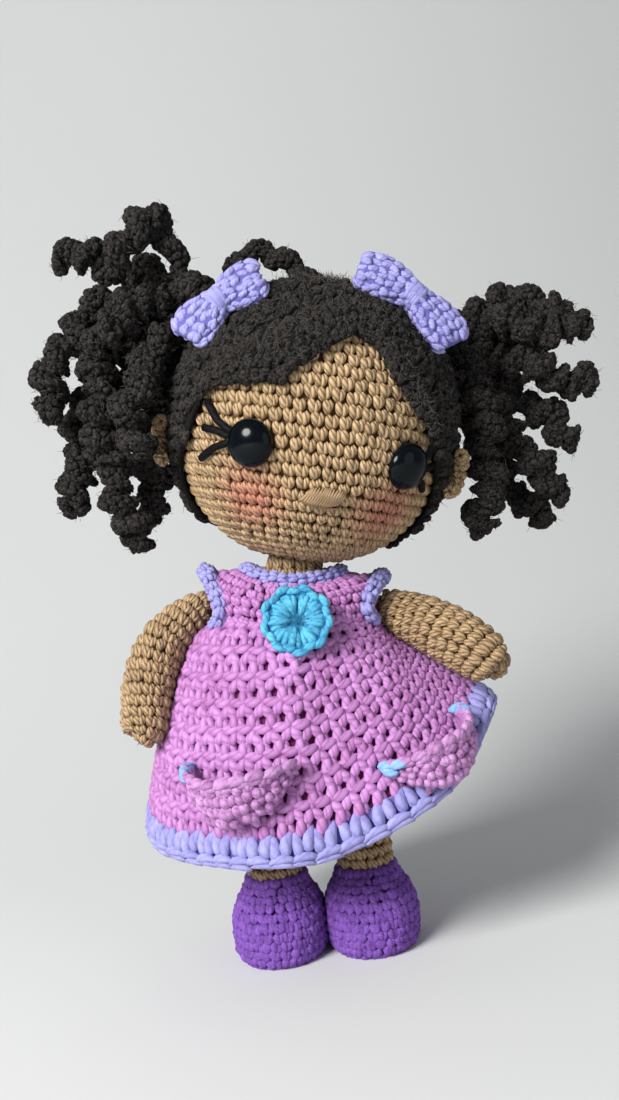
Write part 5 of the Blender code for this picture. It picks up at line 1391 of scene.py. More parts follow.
@dataclass
class Bow:
    """A crocheted bow, pinched by a few turns of yarn."""

    side: str
    half_length: float
    angle: float
    forward: float
    half_width: float = 6.0 * MM
    thickness: float = 3.4 * MM

    def point(self, share: np.ndarray, height: np.ndarray, depth: np.ndarray) -> np.ndarray:
        """Return points of the bow's own bent frame."""
        seat = HEAD_RADIUS + 2.6 * MM + 0.6 * MM + self.thickness * 0.22
        forward, lean = math.radians(self.forward), math.radians(26.0)
        reach = seat * math.cos(forward) + height * math.cos(lean) - depth * math.sin(lean)
        back = -seat * math.sin(forward) + height * math.sin(lean) + depth * math.cos(lean)
        angle = math.radians(self.angle) - share * self.half_length / (seat * math.cos(forward) + self.half_width)
        return HEAD_CENTRE + np.stack((reach * np.cos(angle), back, reach * np.sin(angle)), axis=-1)

    def skin(self, u: np.ndarray, v: np.ndarray) -> np.ndarray:
        """Return points on the bow, from one end at 0 to the other at 1."""
        share = 2.0 * v - 1.0
        spread = np.abs(share) ** 0.8
        eased = np.clip(spread * 1.4, 0.0, 1.0)
        close = np.sqrt(np.clip(1.0 - np.clip((np.abs(share) - 0.80) / 0.20, 0.0, 1.0) ** 2, 0.0, 1.0))
        width = (2.8 * MM + (self.half_width - 2.8 * MM) * eased * eased * (3.0 - 2.0 * eased)) * close
        thick = self.thickness * (0.75 - 0.25 * spread) * close
        pleat = 1.0 - 0.60 * np.abs(np.cos(u)) ** 6 * spread
        crease = 1.0 - 0.35 * spread * np.exp(-(np.cos(u) / 0.25) ** 2)
        return self.point(share, self.half_width + width * np.cos(u), -thick * pleat * crease * np.sin(u))

    def build(self, fabric: Fabric) -> None:
        """Build the bow and its stitches."""
        name = f"bow_{self.side}"
        fabric.form(round_form(offset_surface(self.skin, -0.7 * MM), 28, 40), f"{name}_band", name)
        places = rounds(self.skin, 0.03, 0.97, 2.7 * MM, 2.4 * MM)
        stitches = work(self.skin, places, SINGLE, lift=0.2, uneven=0.12, scale=0.91)
        fabric.strands(stitches, f"{name}_stitches")
        fabric.strands(fibres(self.skin, 220, 1.4 * MM), f"{name}_fibres")
        paths, ups = [], []
        turn = np.linspace(-1.45, 1.45, 5)
        reach = 3.3 * MM
        for index in range(5):
            share = np.full(5, (index - 2.0) * 0.045)
            path = self.point(share, self.half_width + reach * np.sin(turn), -reach * np.cos(turn))
            paths.append(path)
            ups.append(unit(path - path.mean(axis=0) + (path[2] - path.mean(axis=0))))
        piece = STRAND.copies(np.array(paths), np.array(ups), np.full((5, 5), 0.95 * MM))
        fabric.strands(piece, f"{name}_knot")


@dataclass
class Shoe:
    """A crocheted shoe with a flat sole and a bore for the foot."""

    side: str
    bands: tuple[tuple[float, float, float, float], ...] = (
        (0.0, 0.0, 0.0, 0.0), (5.0, 8.0, 4.6, 0.0), (9.2, 14.4, 8.6, 0.0), (11.04, 16.8, 10.2, 2.34),
        (11.5, 17.5, 10.5, 5.85), (11.27, 17.0, 10.2, 9.75), (10.1, 14.2, 9.3, 13.26), (8.2, 9.7, 8.0, 16.38),
        (7.3, 7.7, 7.2, 18.4), (6.9, 7.0, 6.9, 19.5), (6.6, 6.6, 6.6, 19.0), (7.0, 7.0, 7.0, 14.0),
        (6.6, 6.6, 6.6, 6.6), (3.8, 3.8, 3.8, 4.0), (0.0, 0.0, 0.0, 2.9))

    def skin(self, u: np.ndarray, v: np.ndarray) -> np.ndarray:
        """Return points on the shoe, from the sole's middle at 0 over the collar to the bore's end at 1."""
        table = eased_rows(self.bands, 90) * MM
        keys = np.linspace(0.0, 1.0, len(table))
        wide, toe, heel, height = (np.interp(v, keys, table[:, column]) for column in range(4))
        side, depth = np.cos(u), np.sin(u)
        middle = -FOOT_OUT if self.side == "right" else FOOT_OUT
        across = wide * np.sign(side) * np.abs(side) ** 0.9
        along = np.where(depth < 0.0, toe, heel) * np.sign(depth) * np.abs(depth) ** 0.9
        return np.stack((middle + across, along, np.maximum(height, 0.0)), axis=-1)

    def upwards(self, u: np.ndarray, v: np.ndarray) -> np.ndarray:
        """Return the same points from the sole up, turned the other way round."""
        return self.skin(-u, 1.0 - v)

    def build(self, fabric: Fabric) -> None:
        """Build the shoe and its stitches."""
        name = f"shoe_{self.side}"

        def inset(u: np.ndarray, v: np.ndarray) -> np.ndarray:
            """Return the ground under the stitches, flat on the floor."""
            points = self.skin(u, v)
            middle = np.array((-FOOT_OUT if self.side == "right" else FOOT_OUT, -2.0 * MM, 9.0 * MM))
            depth = np.clip((0.66 - v) / 0.05, 0.0, 1.0)[..., None] * 0.09
            moved = points + (middle - points) * depth
            moved[..., 2] = np.where(v < 0.12, points[..., 2] + 0.25 * MM, moved[..., 2])
            return moved

        form = round_form(inset, 44, 60)
        fabric.form(form, f"{name}_form", name)
        places = rounds(lambda u, v: self.skin(u, 1.0 - v), 0.348, 0.985, 2.35 * MM, 2.05 * MM)
        stitches = work(self.upwards, places, SINGLE, uneven=0.08)
        points = coordinates(stitches)
        points[:, 2] = np.maximum(points[:, 2], 0.1 * MM)
        stitches.data.vertices.foreach_set("co", points.ravel())
        fabric.strands(stitches, f"{name}_stitches")
        fabric.strands(fibres(self.upwards, 500, 1.0 * MM, down=(0.37, 0.72)), f"{name}_fibres")


@dataclass
class Body:
    """The torso with its neck, the neck's core and the sewn seams."""

    fabric: Fabric
    seam: bpy.types.Material

    def skin(self, u: np.ndarray, v: np.ndarray) -> np.ndarray:
        """Return points on the torso, from the bottom of the neck's socket at 0 to the seat at 1."""
        shares = ((0.70, 0.66, 0.885), (0.92, 0.82, 0.83), (1.0, 0.94, 0.76), (1.0, 1.0, 0.62), (1.02, 1.02, 0.40),
                  (1.0, 1.0, 0.17), (0.86, 0.86, 0.045), (0.62, 0.62, 0.0))
        neck = np.array(((0.0, 0.0, 87.2), (5.0, 5.0, 87.2), (5.0, 5.0, 111.4), (7.0, 7.0, 111.5),
                         (7.0, 7.0, 104.6), (7.84, 7.84, 102.85))) * MM
        trunk = [(TORSO_WIDE * a, TORSO_DEEP * b, HIP_HEIGHT + TORSO_HIGH * c) for a, b, c in shares]
        table = np.concatenate((neck, trunk, ((0.0, 0.0, HIP_HEIGHT),)))
        keys = np.concatenate(((0.0,), np.cumsum(np.linalg.norm(np.diff(table, axis=0), axis=1))))
        wide, deep, height = (np.interp(v * keys[-1], keys, table[:, column]) for column in range(3))
        spots = np.stack((wide * np.cos(u), deep * np.sin(u), height), axis=-1)
        lean = np.array(Matrix.Rotation(SPINE_BEND, 3, "Y"))
        straight = NECK + (spots - np.array((0.0, 0.0, SPINE_TOP))) @ lean.T
        socket = np.clip((keys[2] - v * keys[-1]) / MM + 0.5, 0.0, 1.0)[..., None]
        return straight * socket + bent(spots) * (1.0 - socket)

    def build(self) -> None:
        """Build the body's pieces."""
        def inset(u: np.ndarray, v: np.ndarray) -> np.ndarray:
            """Return the ground under the stitches."""
            depth = np.clip((v - 0.30) / 0.04, 0.0, 1.0)[..., None] * -1.3 * MM
            return self.skin(u, v) + normals_of(self.skin, u, v) * depth

        form = round_form(inset, 40, 70)
        self.fabric.form(form, "torso", "torso_shell", "torso_stuffing")
        places = rounds(self.skin, 0.29, 0.985, 3.6 * MM, 3.3 * MM)
        height = self.skin(places.u, places.v)[:, 2]
        places = places.only((height < 80.0 * MM) | (height > 98.0 * MM))
        self.fabric.strands(work(self.skin, places, SINGLE), "torso_stitches")
        self.build_core()
        self.build_seams()

    def build_core(self) -> None:
        """Build the roll of felt that stiffens the neck."""
        axis = np.array((math.sin(SPINE_BEND), 0.0, math.cos(SPINE_BEND)))
        side, rise = np.array((math.cos(SPINE_BEND), 0.0, -math.sin(SPINE_BEND))), np.array((0.0, 1.0, 0.0))

        def roll(u: np.ndarray, v: np.ndarray) -> np.ndarray:
            """Return points on the roll."""
            radius = np.interp(v, (0.0, 0.06, 0.12, 0.88, 0.94, 1.0), (0.0, 3.8, 4.5, 4.5, 3.8, 0.0)) * MM
            radius = radius * (1.0 - 0.05 * ((u / TAU) % 1.0))
            height = np.interp(v, (0.0, 0.06, 0.12, 0.88, 0.94, 1.0), (-18.4, -18.4, -17.8, 4.9, 5.4, 5.4)) * MM
            return (NECK + axis * height[..., None] + side * (radius * np.cos(u))[..., None]
                    + rise * (radius * np.sin(u))[..., None])

        felt = Plain("core_felt", (0.62, 0.60, 0.55), 0.95, 900.0, 0.2, 0.6).material()
        dress_piece(round_form(roll, 28, 24), "neck_roll", felt, "neck", ("neck_core",))

    def build_seams(self) -> None:
        """Build the whip stitches that hold the head and both arms."""
        paths, ups = [], []
        down = HEAD_POSE @ np.array((0.0, 0.0, -1.0))
        for index in range(18):
            turn = TAU * index / 18
            spoke = HEAD_POSE @ np.array((math.cos(turn), math.sin(turn), 0.0))
            later = HEAD_POSE @ np.array((math.cos(turn + 0.22), math.sin(turn + 0.22), 0.0))
            paths.append(arched(NECK + spoke * 7.7 * MM, NECK + later * 9.8 * MM, down, 0.35 * MM))
            ups.append(down)
        dress_piece(laid_cords(paths, ups, 0.5 * MM), "neck_whip_stitches", self.seam, "neck_ring",
                    ("neck_seam",))
        for side, away in SIDES:
            seat = np.array((away * (SHOULDER_OUT - 4.352 * MM), 0.0, SHOULDER_HEIGHT))
            paths, ups = [], []
            for index in range(10):
                turns = TAU * (index + np.linspace(-0.1, 1.1, 5)) / 10.0
                spots = seat + np.stack((np.zeros(5), np.cos(turns), np.sin(turns)), axis=-1) * 3.3 * MM
                paths.append(bent(spots))
                ups.append(np.array((away, 0.0, 0.0)))
            dress_piece(laid_cords(paths, ups, 0.56 * MM), f"shoulder_{side}_whip_stitches", self.seam,
                        f"shoulder_{side}", (f"shoulder_seam_{side}",))


@dataclass
class Dress:
    """The dress with its edgings; the pockets and rosette on it are built by their own classes."""

    pink: Fabric
    lavender: Fabric
    sleeve: tuple[tuple[float, float, float], ...] = (
        (23.4, -6.8, 87.2), (20.8, -9.2, 88.6), (19.0, -11.2, 92.2), (21.2, -8.4, 97.2), (24.3, 0.0, 100.9),
        (21.2, 8.4, 97.2), (19.0, 11.2, 92.2), (20.8, 9.2, 88.6), (23.4, 6.8, 87.2))

    def cloth(self, u: np.ndarray, v: np.ndarray) -> np.ndarray:
        """Return points on the whole dress, from the neckline at 0 to the end of the pink at 1."""
        top = bodice(u, np.clip(v / 0.28, 0.0, 1.0))
        low = skirt(u, np.clip((v - 0.28) / 0.72, 0.0, 1.0) * pink_end(u))
        return np.where((v < 0.28)[..., None], top, low)

    def pink_skirt(self, u: np.ndarray, v: np.ndarray) -> np.ndarray:
        """Return points on the pink of the skirt, from the waist at 0 to its end at 1."""
        return skirt(u, v * pink_end(u))

    def hem(self, u: np.ndarray, v: np.ndarray) -> np.ndarray:
        """Return points on the hem's edging."""
        start = pink_end(u)
        return skirt(u, start + (1.0 - start) * v)

    def armhole(self, side: str) -> np.ndarray:
        """Return the middle of an armhole."""
        away = dict(SIDES)[side]
        return bent(np.array((away * SHOULDER_OUT, 0.0, SHOULDER_HEIGHT))) + np.array((0.0, 0.0, 0.46 * MM))

    def clear_of_arms(self, places: Places, surface: Surface, reach: float) -> Places:
        """Return the stitches that don't lie in an armhole."""
        spots = surface(places.u, places.v)
        keep = np.ones(len(spots), dtype=bool)
        for side in ("right", "left"):
            centre = self.armhole(side)
            away = np.hypot(spots[:, 1] - centre[1], spots[:, 2] - centre[2])
            keep &= (away >= reach) | (spots[:, 0] * np.sign(centre[0]) <= 12.0 * MM)
        return places.only(keep)

    def build(self) -> None:
        """Build the whole dress."""
        def shaded_ground(u: np.ndarray, v: np.ndarray) -> np.ndarray:
            """Return the cloth under the stitches."""
            return self.cloth(u, v) + normals_of(self.cloth, u, np.clip(v, 0.003, 0.997)) * -1.15 * MM

        holes = [(self.armhole(side), 6.9 * MM) for side, _ in SIDES]
        cloth = cloth_form(shaded_ground, FULL_TURN, (0.0, 1.0), 144, 72, 0.9 * MM, True, holes)
        self.pink.form(cloth, "dress_cloth", "dress")
        stitches = self.skirt_stitches()
        top = rounds(bodice, 0.05, 1.0, 3.15 * MM, 2.9 * MM)
        top = self.clear_of_arms(top, bodice, 7.6 * MM)
        upper = self.pink.strands(work(bodice, top, SINGLE, lift=0.35, uneven=0.09, scale=0.94), "bodice_stitches")
        hem = self.build_hem()
        self.build_trims()

    def skirt_stitches(self) -> bpy.types.Object:
        """Build the open stitches of the skirt.

        Returns:
            The piece.
        """
        places = rounds(self.pink_skirt, 0.0, 1.0, 4.2 * MM, 5.6 * MM, drift=0.30)
        places = self.clear_of_arms(places, self.pink_skirt, 7.0 * MM)
        piece = work(self.pink_skirt, places, POST, lift=-0.2, uneven=0.035, scale=0.96)
        return self.pink.strands(piece, "skirt_stitches")

    def build_hem(self) -> list[bpy.types.Object]:
        """Build the hem's edging: its ground, its drops and its braided edge.

        Returns:
            Its pieces.
        """
        form = cloth_form(offset_surface(self.hem, -1.0 * MM), FULL_TURN, (0.02, 0.93), 128, 8, 1.0 * MM, True)
        band = self.lavender.form(form, "hem_ground", "hem_trim")
        count = 52
        step = TAU / count
        angles = np.arange(count) * step
        whole = np.ones(count)
        drops = Places(angles, whole * 0.36, whole * step, whole * 0.78)
        upper = self.lavender.strands(work(self.hem, drops, DROP, lift=-0.25, uneven=0.05), "hem_drops")
        edge = Places(angles + step / 2.0, whole * 0.84, whole * step, whole * 0.40)
        lower = self.lavender.strands(work(self.hem, edge, BRAID, lift=-0.1, uneven=0.05), "hem_braid")
        return [band, upper, lower]

    def build_trims(self) -> None:
        """Build the edgings of the neckline and of both sleeves."""
        def roll(u: np.ndarray, v: np.ndarray) -> np.ndarray:
            """Return points on the neckline's roll."""
            outward = np.stack((np.cos(v), np.sin(v), np.zeros_like(v)), axis=-1)
            radius, level = 1.45 * MM, np.zeros_like(v)
            return (bodice(v, level) + outward * (radius * np.cos(u) - 0.6 * MM)[..., None]
                    + np.stack((level, level, radius * np.sin(u) + 0.9 * MM), axis=-1))

        self.lavender.form(ring_form(roll, 72, 12), "neckline_roll", "neckline_trim")
        places = patch_rows(FULL_TURN, FULL_TURN, 4, 34, 0.5)
        stitches = work(roll, places, SINGLE, lift=0.75, uneven=0.08, scale=0.66)
        self.lavender.strands(stitches, "neckline_stitches")
        dense = np.linspace(0.0, 1.0, 60)
        for side, away in SIDES:
            path = bent(eased_rows(self.sleeve, 60) * MM * np.array((away, 1.0, 1.0)))
            tube = Tube(path, 1.8 * MM * np.sqrt(np.clip(1.0 - np.abs(2.0 * dense - 1.0) ** 8, 0.0, 1.0)))
            form = round_form(offset_surface(tube, -0.5 * MM), 12, 40)
            self.lavender.form(form, f"sleeve_{side}_roll", f"sleeve_trim_{side}")
            places = rounds(tube, 0.04, 0.96, 2.6 * MM, 2.5 * MM)
            stitches = work(tube, places, SINGLE, lift=0.55, uneven=0.08, scale=0.74)
            self.lavender.strands(stitches, f"sleeve_{side}_stitches")


@dataclass
class Pocket:
    """A half-round patch pocket, whip-stitched at its corners."""

    side: str
    middle: float
    top: float
    slant: float
    depth: float
    half_width: float = 12.8 * MM

    def skin(self, u: np.ndarray, v: np.ndarray) -> np.ndarray:
        """Return points on the pocket, across from -1 to 1 and down from its mouth at 0 to its seam at 1."""
        across = np.clip(u, -0.97, 0.97)
        middle = math.radians(self.middle)
        reach = skirt(np.array([middle]), np.array([self.top]))[0]
        angle = middle + across * self.half_width / math.hypot(reach[0], reach[1])
        length = np.linalg.norm(skirt(angle, np.full_like(angle, 0.9)) - skirt(angle, np.full_like(angle, 0.5)),
                                axis=-1)
        sag = 0.30 * (1.0 - across * across)
        drop = self.depth * (sag + ((1.0 - np.abs(across) ** 1.7) ** 0.7 - sag) * v)
        share = self.top + self.slant * across + drop * 0.4 / length
        bulge = 8.6 * MM * (1.0 - across * across) ** 0.8 * np.clip(1.0 - v * v, 0.0, 1.0) ** 0.6
        return skirt(angle, share) + normals_of(skirt, angle, share) * (2.5 * MM + bulge)[..., None]

    def build(self, fabric: Fabric, blue: bpy.types.Material) -> None:
        """Build the pocket, its stitches and the whip stitches at its corners."""
        name = f"pocket_{self.side}"

        def inner(u: np.ndarray, v: np.ndarray) -> np.ndarray:
            """Return the ground under the stitches."""
            out = normals_of(self.skin, np.clip(u, -0.9, 0.9), np.clip(v, 0.05, 0.92))
            return self.skin(u, v) - out * 0.9 * MM

        form = cloth_form(inner, (-0.95, 0.95), (0.0, 1.0), 36, 18, 0.9 * MM, False)
        fabric.form(form, f"{name}_cloth", name)
        places = patch_rows((-0.97, 0.97), (0.04, 1.0), 10, 4)
        stitches = work(self.skin, places, SINGLE, lift=-0.05, uneven=0.10, scale=1.12)
        fabric.strands(stitches, f"{name}_stitches")
        edge = patch_rows((-0.97, 0.97), (-0.10, 0.12), 10, 1)
        fabric.strands(work(self.skin, edge, BRAID, lift=0.45, uneven=0.08, scale=1.15), f"{name}_rim")
        paths, ups = [], []
        spots = {"right": ((-0.93, 0.0), (-0.90, 0.35), (-0.80, 0.0)),
                 "left": ((-0.95, 0.0), (-0.93, 0.5), (-0.80, 0.05), (0.95, 0.0), (0.93, 0.45), (0.80, 0.0))}
        for across, down in spots[self.side]:
            place = (np.array([across]), np.array([down]))
            spot, out = self.skin(*place)[0], normals_of(self.skin, *place)[0]
            away = unit(self.skin(place[0] * 1.02, place[1])[0] - self.skin(place[0] * 0.9, place[1])[0])
            start, end = spot - away * 2.2 * MM + out * 0.3 * MM, spot + away * 2.6 * MM - out * 1.2 * MM
            paths.append(arched(start, end, out, 1.3 * MM))
            ups.append(out)
        dress_piece(laid_cords(paths, ups, 1.2 * MM), f"{name}_whip_stitches", blue, "torso")


@dataclass
class Rosette:
    """The crocheted flower on the chest."""

    fabric: Fabric
    petals: int = 9
    spread: float = 0.94 * MM

    def build(self) -> None:
        """Build the flower on the place of its solid."""
        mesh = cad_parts["rosette"].data
        flat = np.empty(len(mesh.vertices) * 3)
        mesh.vertices.foreach_get("co", flat)
        points = np.unique(np.round(flat.reshape(-1, 3), 6), axis=0) - AXIS
        centre = points.mean(axis=0)
        out = np.linalg.svd(points - centre)[2][2]
        out = out if out[1] < 0.0 else -out
        back = float(((points - centre) @ out).min())
        centre = centre + out * back
        across = unit(np.array((1.0, 0.0, 0.0)) - out * out[0])
        rise = np.cross(out, across)

        def disc(u: np.ndarray, v: np.ndarray) -> np.ndarray:
            """Return points on the flower, from the middle of its front at 0 to the middle of its back at 1."""
            reach = np.interp(v, (0.0, 0.1, 0.45, 0.55, 0.6, 0.66, 1.0), (0.0, 1.0, 7.1, 8.4, 8.6, 8.0, 0.0)) * MM
            lift = np.interp(v, (0.0, 0.1, 0.45, 0.55, 0.6, 0.66, 1.0), (0.6, 0.8, 1.7, 1.6, 1.0, 0.15, 0.15)) * MM
            return (centre + across * (reach * np.cos(u))[..., None] + rise * (reach * np.sin(u))[..., None]
                    + out * lift[..., None])

        form = round_form(disc, 48, 30)
        self.fabric.form(form, "rosette_ground", "rosette")
        paths, ups, sizes = [], [], []
        for index in range(self.petals):
            turn = TAU * (index + 0.5 + 0.25 * math.sin(4.0 * index)) / self.petals
            for part in (-1.2, -0.4, 0.4, 1.2):
                share = np.array((1.5, 3.0, 4.8, 6.4, 7.6)) + 0.3 * math.sin(3.0 * index + part)
                spread = part * np.array((0.02, 0.10, 0.22, 0.27, 0.24)) + RANDOM.normal(0.0, 0.03)
                height = np.array((0.2, 1.6, 2.3, 2.1, 1.5)) - 0.5 * abs(part) + RANDOM.normal(0.0, 0.15)
                paths.append([centre + out * tall * MM
                              + (across * math.cos(turn + bend) + rise * math.sin(turn + bend)) * reach * self.spread
                              for reach, bend, tall in zip(share, spread, height)])
                ups.append(np.tile(out, (5, 1)))
                sizes.append(np.array((0.6, 0.85, 0.95, 0.95, 0.8)) * MM)
        for index in range(self.petals * 2):
            turns = TAU * (index + np.linspace(-0.12, 1.12, 5)) / (self.petals * 2)
            scallop = 8.3 + 0.7 * (index % 2) + RANDOM.normal(0.0, 0.15)
            paths.append([centre + (across * math.cos(turn) + rise * math.sin(turn)) * scallop * self.spread
                          + out * (1.5 + 0.5 * math.sin(math.pi * place)) * MM
                          for turn, place in zip(turns, np.linspace(0.0, 1.0, 5))])
            ups.append(np.tile(out, (5, 1)))
            sizes.append(np.array((0.7, 1.0, 1.05, 1.0, 0.7)) * MM)
        piece = STRAND.copies(np.array(paths), np.array(ups), np.array(sizes))
        self.fabric.strands(piece, "rosette_stitches")
        fuzz = fibres(offset_surface(disc, 0.7 * MM), 260, 1.2 * MM, down=(0.05, 0.55))
        self.fabric.strands(fuzz, "rosette_fibres")


@dataclass
class Studio:
    """The camera, a pale sweep and soft lamps."""

    lens: float = 34.0
    roll: float = -6.5
    eye: tuple[float, float, float] = (6.8, -285.0, 106.9)
    target: tuple[float, float, float] = (0.0, 0.0, 100.0)
    near: float = 0.9
    level: float = 0.10
    curve: float = 1.1

    def build(self) -> None:
        """Build all of it."""
        self.build_camera()
        self.build_sweep()
        self.build_lamps()

    def build_camera(self) -> None:
        """Place the camera where the photograph was taken from."""
        data = bpy.data.cameras.new("camera")
        data.lens = self.lens
        data.sensor_width = 36.0
        data.clip_start = 0.01
        camera = bpy.data.objects.new("camera", data)
        bpy.context.scene.collection.objects.link(camera)
        place = Vector(AXIS) + Vector(self.eye) * MM
        turn = Matrix.Rotation(math.radians(90.0), 4, "X") @ Matrix.Rotation(math.radians(self.roll), 4, "Z")
        camera.matrix_world = Matrix.Translation(place) @ turn
        bpy.context.scene.camera = camera

    def build_sweep(self) -> None:
        """Build the floor that curves up into a backdrop."""
        deselect()
        bpy.ops.mesh.primitive_grid_add(x_subdivisions=8, y_subdivisions=48, size=2.0)
        floor = bpy.context.object
        share = (coordinates(floor)[:, 1] + 1.0) / 2.0
        run = share * 3.4 - self.near
        turn = np.clip((run - self.level) / self.curve, 0.0, 1.0) * math.pi / 2.0
        bend = self.curve / (math.pi / 2.0)
        reach = np.minimum(run, self.level) + bend * np.sin(turn)
        height = bend * (1.0 - np.cos(turn)) + np.maximum(run - self.level - self.curve, 0.0)
        points = np.stack((coordinates(floor)[:, 0] * 1.2, reach, height - 0.02 * MM), axis=-1)
        floor.data.vertices.foreach_set("co", points.ravel())
        floor.name = "sweep"
        floor.data.materials.append(Plain("pale_sweep", (0.68, 0.69, 0.69), 0.95, 6.0, 0.01, 0.0).material())
        floor.data.shade_smooth()

    def build_lamps(self) -> None:
        """Place a large soft key lamp, a fill lamp and a plain world."""
        for name, place, size, power, colour in (
                ("key", (-640.0, -800.0, 660.0), 0.50, 22.0, (1.0, 0.99, 0.97)),
                ("fill", (460.0, -460.0, 200.0), 0.5, 0.5, (0.95, 0.97, 1.0))):
            data = bpy.data.lights.new(name, "AREA")
            data.shape = "DISK"
            data.size = size
            data.energy = power
            data.color = colour
            lamp = bpy.data.objects.new(name, data)
            bpy.context.scene.collection.objects.link(lamp)
            spot = Vector(place) * MM + Vector(AXIS)
            aim = Vector(self.target) * MM + Vector(AXIS)
            turn = (aim - spot).to_track_quat("-Z", "Y").to_matrix().to_4x4()
            lamp.matrix_world = Matrix.Translation(spot) @ turn
        world = bpy.data.worlds.new("studio")
        world.use_nodes = True
        background = world.node_tree.nodes["Background"]
        background.inputs["Color"].default_value = (0.92, 0.95, 1.0, 1.0)
        background.inputs["Strength"].default_value = 0.23
        bpy.context.scene.world = world


def tint_spots() -> tuple[tuple[float, float, float], ...]:
    """Return the places of the blush on both cheeks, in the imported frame."""
    spots = (head_spot(-36.0, 124.5), head_spot(30.5, 123.0))
    return tuple(tuple(float(value) for value in spot + AXIS) for spot in spots)


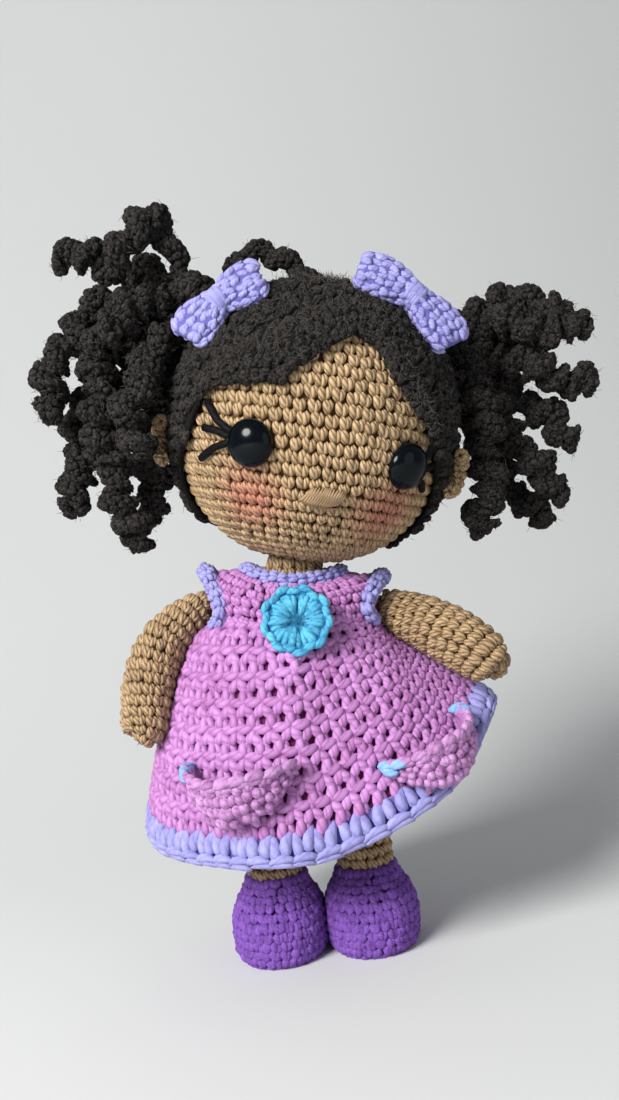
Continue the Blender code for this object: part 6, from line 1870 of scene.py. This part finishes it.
def main() -> None:
    """Build the doll's pieces in order, then the studio."""
    logging.basicConfig(level=logging.INFO, format="%(name)s: %(message)s")
    skin = BlushedYarn("skin_yarn", (0.10, 0.052, 0.021), (0.54, 0.375, 0.205), 0.45, 0.08, 4.0, 2.0, 0.2, 1.0,
                       depth=0.4 * MM, spots=tint_spots()).material()
    # A darker copy of the head's skin yarn for the torso, arms and legs: the darkening is painted shade, as they share
    # the skin's slot.
    limb = Yarn("skin_yarn_shaded_copy", (0.10, 0.052, 0.021), (0.48, 0.33, 0.18), 0.47, 0.08, 4.0, 2.0, 0.2, 1.0,
                depth=0.4 * MM).material()
    # Painted shade for the gaps between the skin's stitches, darker than the yarn.
    skin_gap_shade = Plain("skin_gap_shade", (0.09, 0.045, 0.018), 0.9, 700.0, 0.4, 0.4).material()
    hair = Yarn("hair_yarn", (0.0012, 0.001, 0.001), (0.046, 0.041, 0.038), 0.95, 0.05, 2.0, 3.0, 0.85, 1.0, 1.0,
                1500.0, 0.7 * MM, 2400.0, 0.2).material()
    # Painted shade for the gaps between the hair's stitches.
    hair_gap_shade = Plain("hair_gap_shade", (0.005, 0.0045, 0.004), 0.95, 900.0, 0.5, 0.8, shine=0.2).material()
    loose = Plain("hair_fibre", (0.09, 0.08, 0.07), 0.8, 900.0, 0.6, 0.0, shine=0.3).material()
    lavender = Yarn("lavender_yarn", (0.13, 0.12, 0.36), (0.41, 0.40, 0.75), 0.8, 0.3, 3.0, 2.2, 0.6, 0.7, 0.2,
                    400.0).material()
    # Painted shade for the gaps between the lavender stitches.
    lavender_gap_shade = Plain("lavender_gap_shade", (0.11, 0.10, 0.34), 0.9, 700.0, 0.3, 0.4).material()
    pink = Yarn("pink_yarn", (0.22, 0.045, 0.19), (0.58, 0.28, 0.625), 0.62, 0.25, 3.0, 2.4, 0.45, 0.8).material()
    # Painted shade for the gaps between the pink stitches.
    pink_gap_shade = Plain("pink_gap_shade", (0.10, 0.010, 0.065), 0.95, 700.0, 0.4, 0.4).material()
    pocket = Yarn("pocket_yarn", (0.22, 0.05, 0.20), (0.62, 0.34, 0.66), 0.85, 0.3, 3.0, 2.2, 0.6, 0.9, 0.30,
                  420.0, 0.45 * MM).material()
    # Milder painted shade for the gaps between the pocket's stitches.
    pocket_gap_shade = Plain("pocket_gap_shade", (0.42, 0.17, 0.42), 0.9, 700.0, 0.3, 0.4).material()
    aqua = Yarn("aqua_yarn", (0.01, 0.16, 0.34), (0.13, 0.56, 0.80), 0.75, 0.2, 3.0, 2.2, 0.6, 0.7, 0.2, 300.0,
                0.45 * MM).material()
    # Painted shade for the gaps between the aqua stitches.
    aqua_gap_shade = Plain("aqua_gap_shade", (0.01, 0.15, 0.33), 0.9, 700.0, 0.3, 0.4).material()
    blue = Yarn("whip_yarn", (0.10, 0.22, 0.52), (0.30, 0.52, 0.86), 0.8, 0.3).material()
    purple = Yarn("purple_yarn", (0.055, 0.017, 0.15), (0.31, 0.125, 0.60), 0.9, 0.3, 3.0, 2.2, 0.75, 0.9, 0.25,
                  500.0, 0.6 * MM, 2200.0).material()
    # Painted shade for the gaps between the shoes' purple stitches.
    purple_gap_shade = Plain("purple_gap_shade", (0.09, 0.03, 0.24), 0.9, 900.0, 0.4, 0.6).material()
    seam = Yarn("seam_yarn", (0.15, 0.08, 0.03), (0.42, 0.28, 0.15), 0.6).material()

    Studio().build()
    Body(Fabric(limb, skin_gap_shade, Slot.SKIN, "torso"), seam).build()
    for side, away in SIDES:
        pivot = np.array((away * SHOULDER_OUT, 0.0, SHOULDER_HEIGHT))
        shoulder = bent(pivot) - np.array((away * 4.0 * MM, 0.0, 0.0))
        hip = np.array((away * FOOT_OUT, 0.0, HIP_HEIGHT))
        for name, root in ((f"arm_{side}", shoulder), (f"leg_{side}", hip)):
            StuffedLimb(name, root, Fabric(limb, skin_gap_shade, Slot.SKIN, name)).build()
        Shoe(side).build(Fabric(purple, purple_gap_shade, Slot.PURPLE, f"leg_{side}"))
    tresses = Hair(hair, hair_gap_shade, loose)
    Head(Fabric(skin, skin_gap_shade, Slot.SKIN, "head"), tresses.covered).build()
    tresses.build()
    ribbon = Fabric(lavender, lavender_gap_shade, Slot.LAVENDER, "head")
    Bow("right", 12.6 * MM, 122.5, 37.0).build(ribbon)
    Bow("left", 16.4 * MM, 44.5, 29.0).build(ribbon)
    trim = Fabric(lavender, lavender_gap_shade, Slot.LAVENDER, "torso")
    Dress(Fabric(pink, pink_gap_shade, Slot.PINK, "torso"), trim).build()
    patch = Fabric(pocket, pocket_gap_shade, Slot.POCKET, "torso")
    Pocket("right", -113.5, 0.575, -0.01, 15.5 * MM).build(patch, blue)
    Pocket("left", -47.5, 0.75, 0.02, 13.0 * MM).build(patch, blue)
    Rosette(Fabric(aqua, aqua_gap_shade, Slot.AQUA, "torso")).build()
    view = bpy.context.scene.view_settings
    view.view_transform = "Standard"


if __name__ == "__main__":
    main()
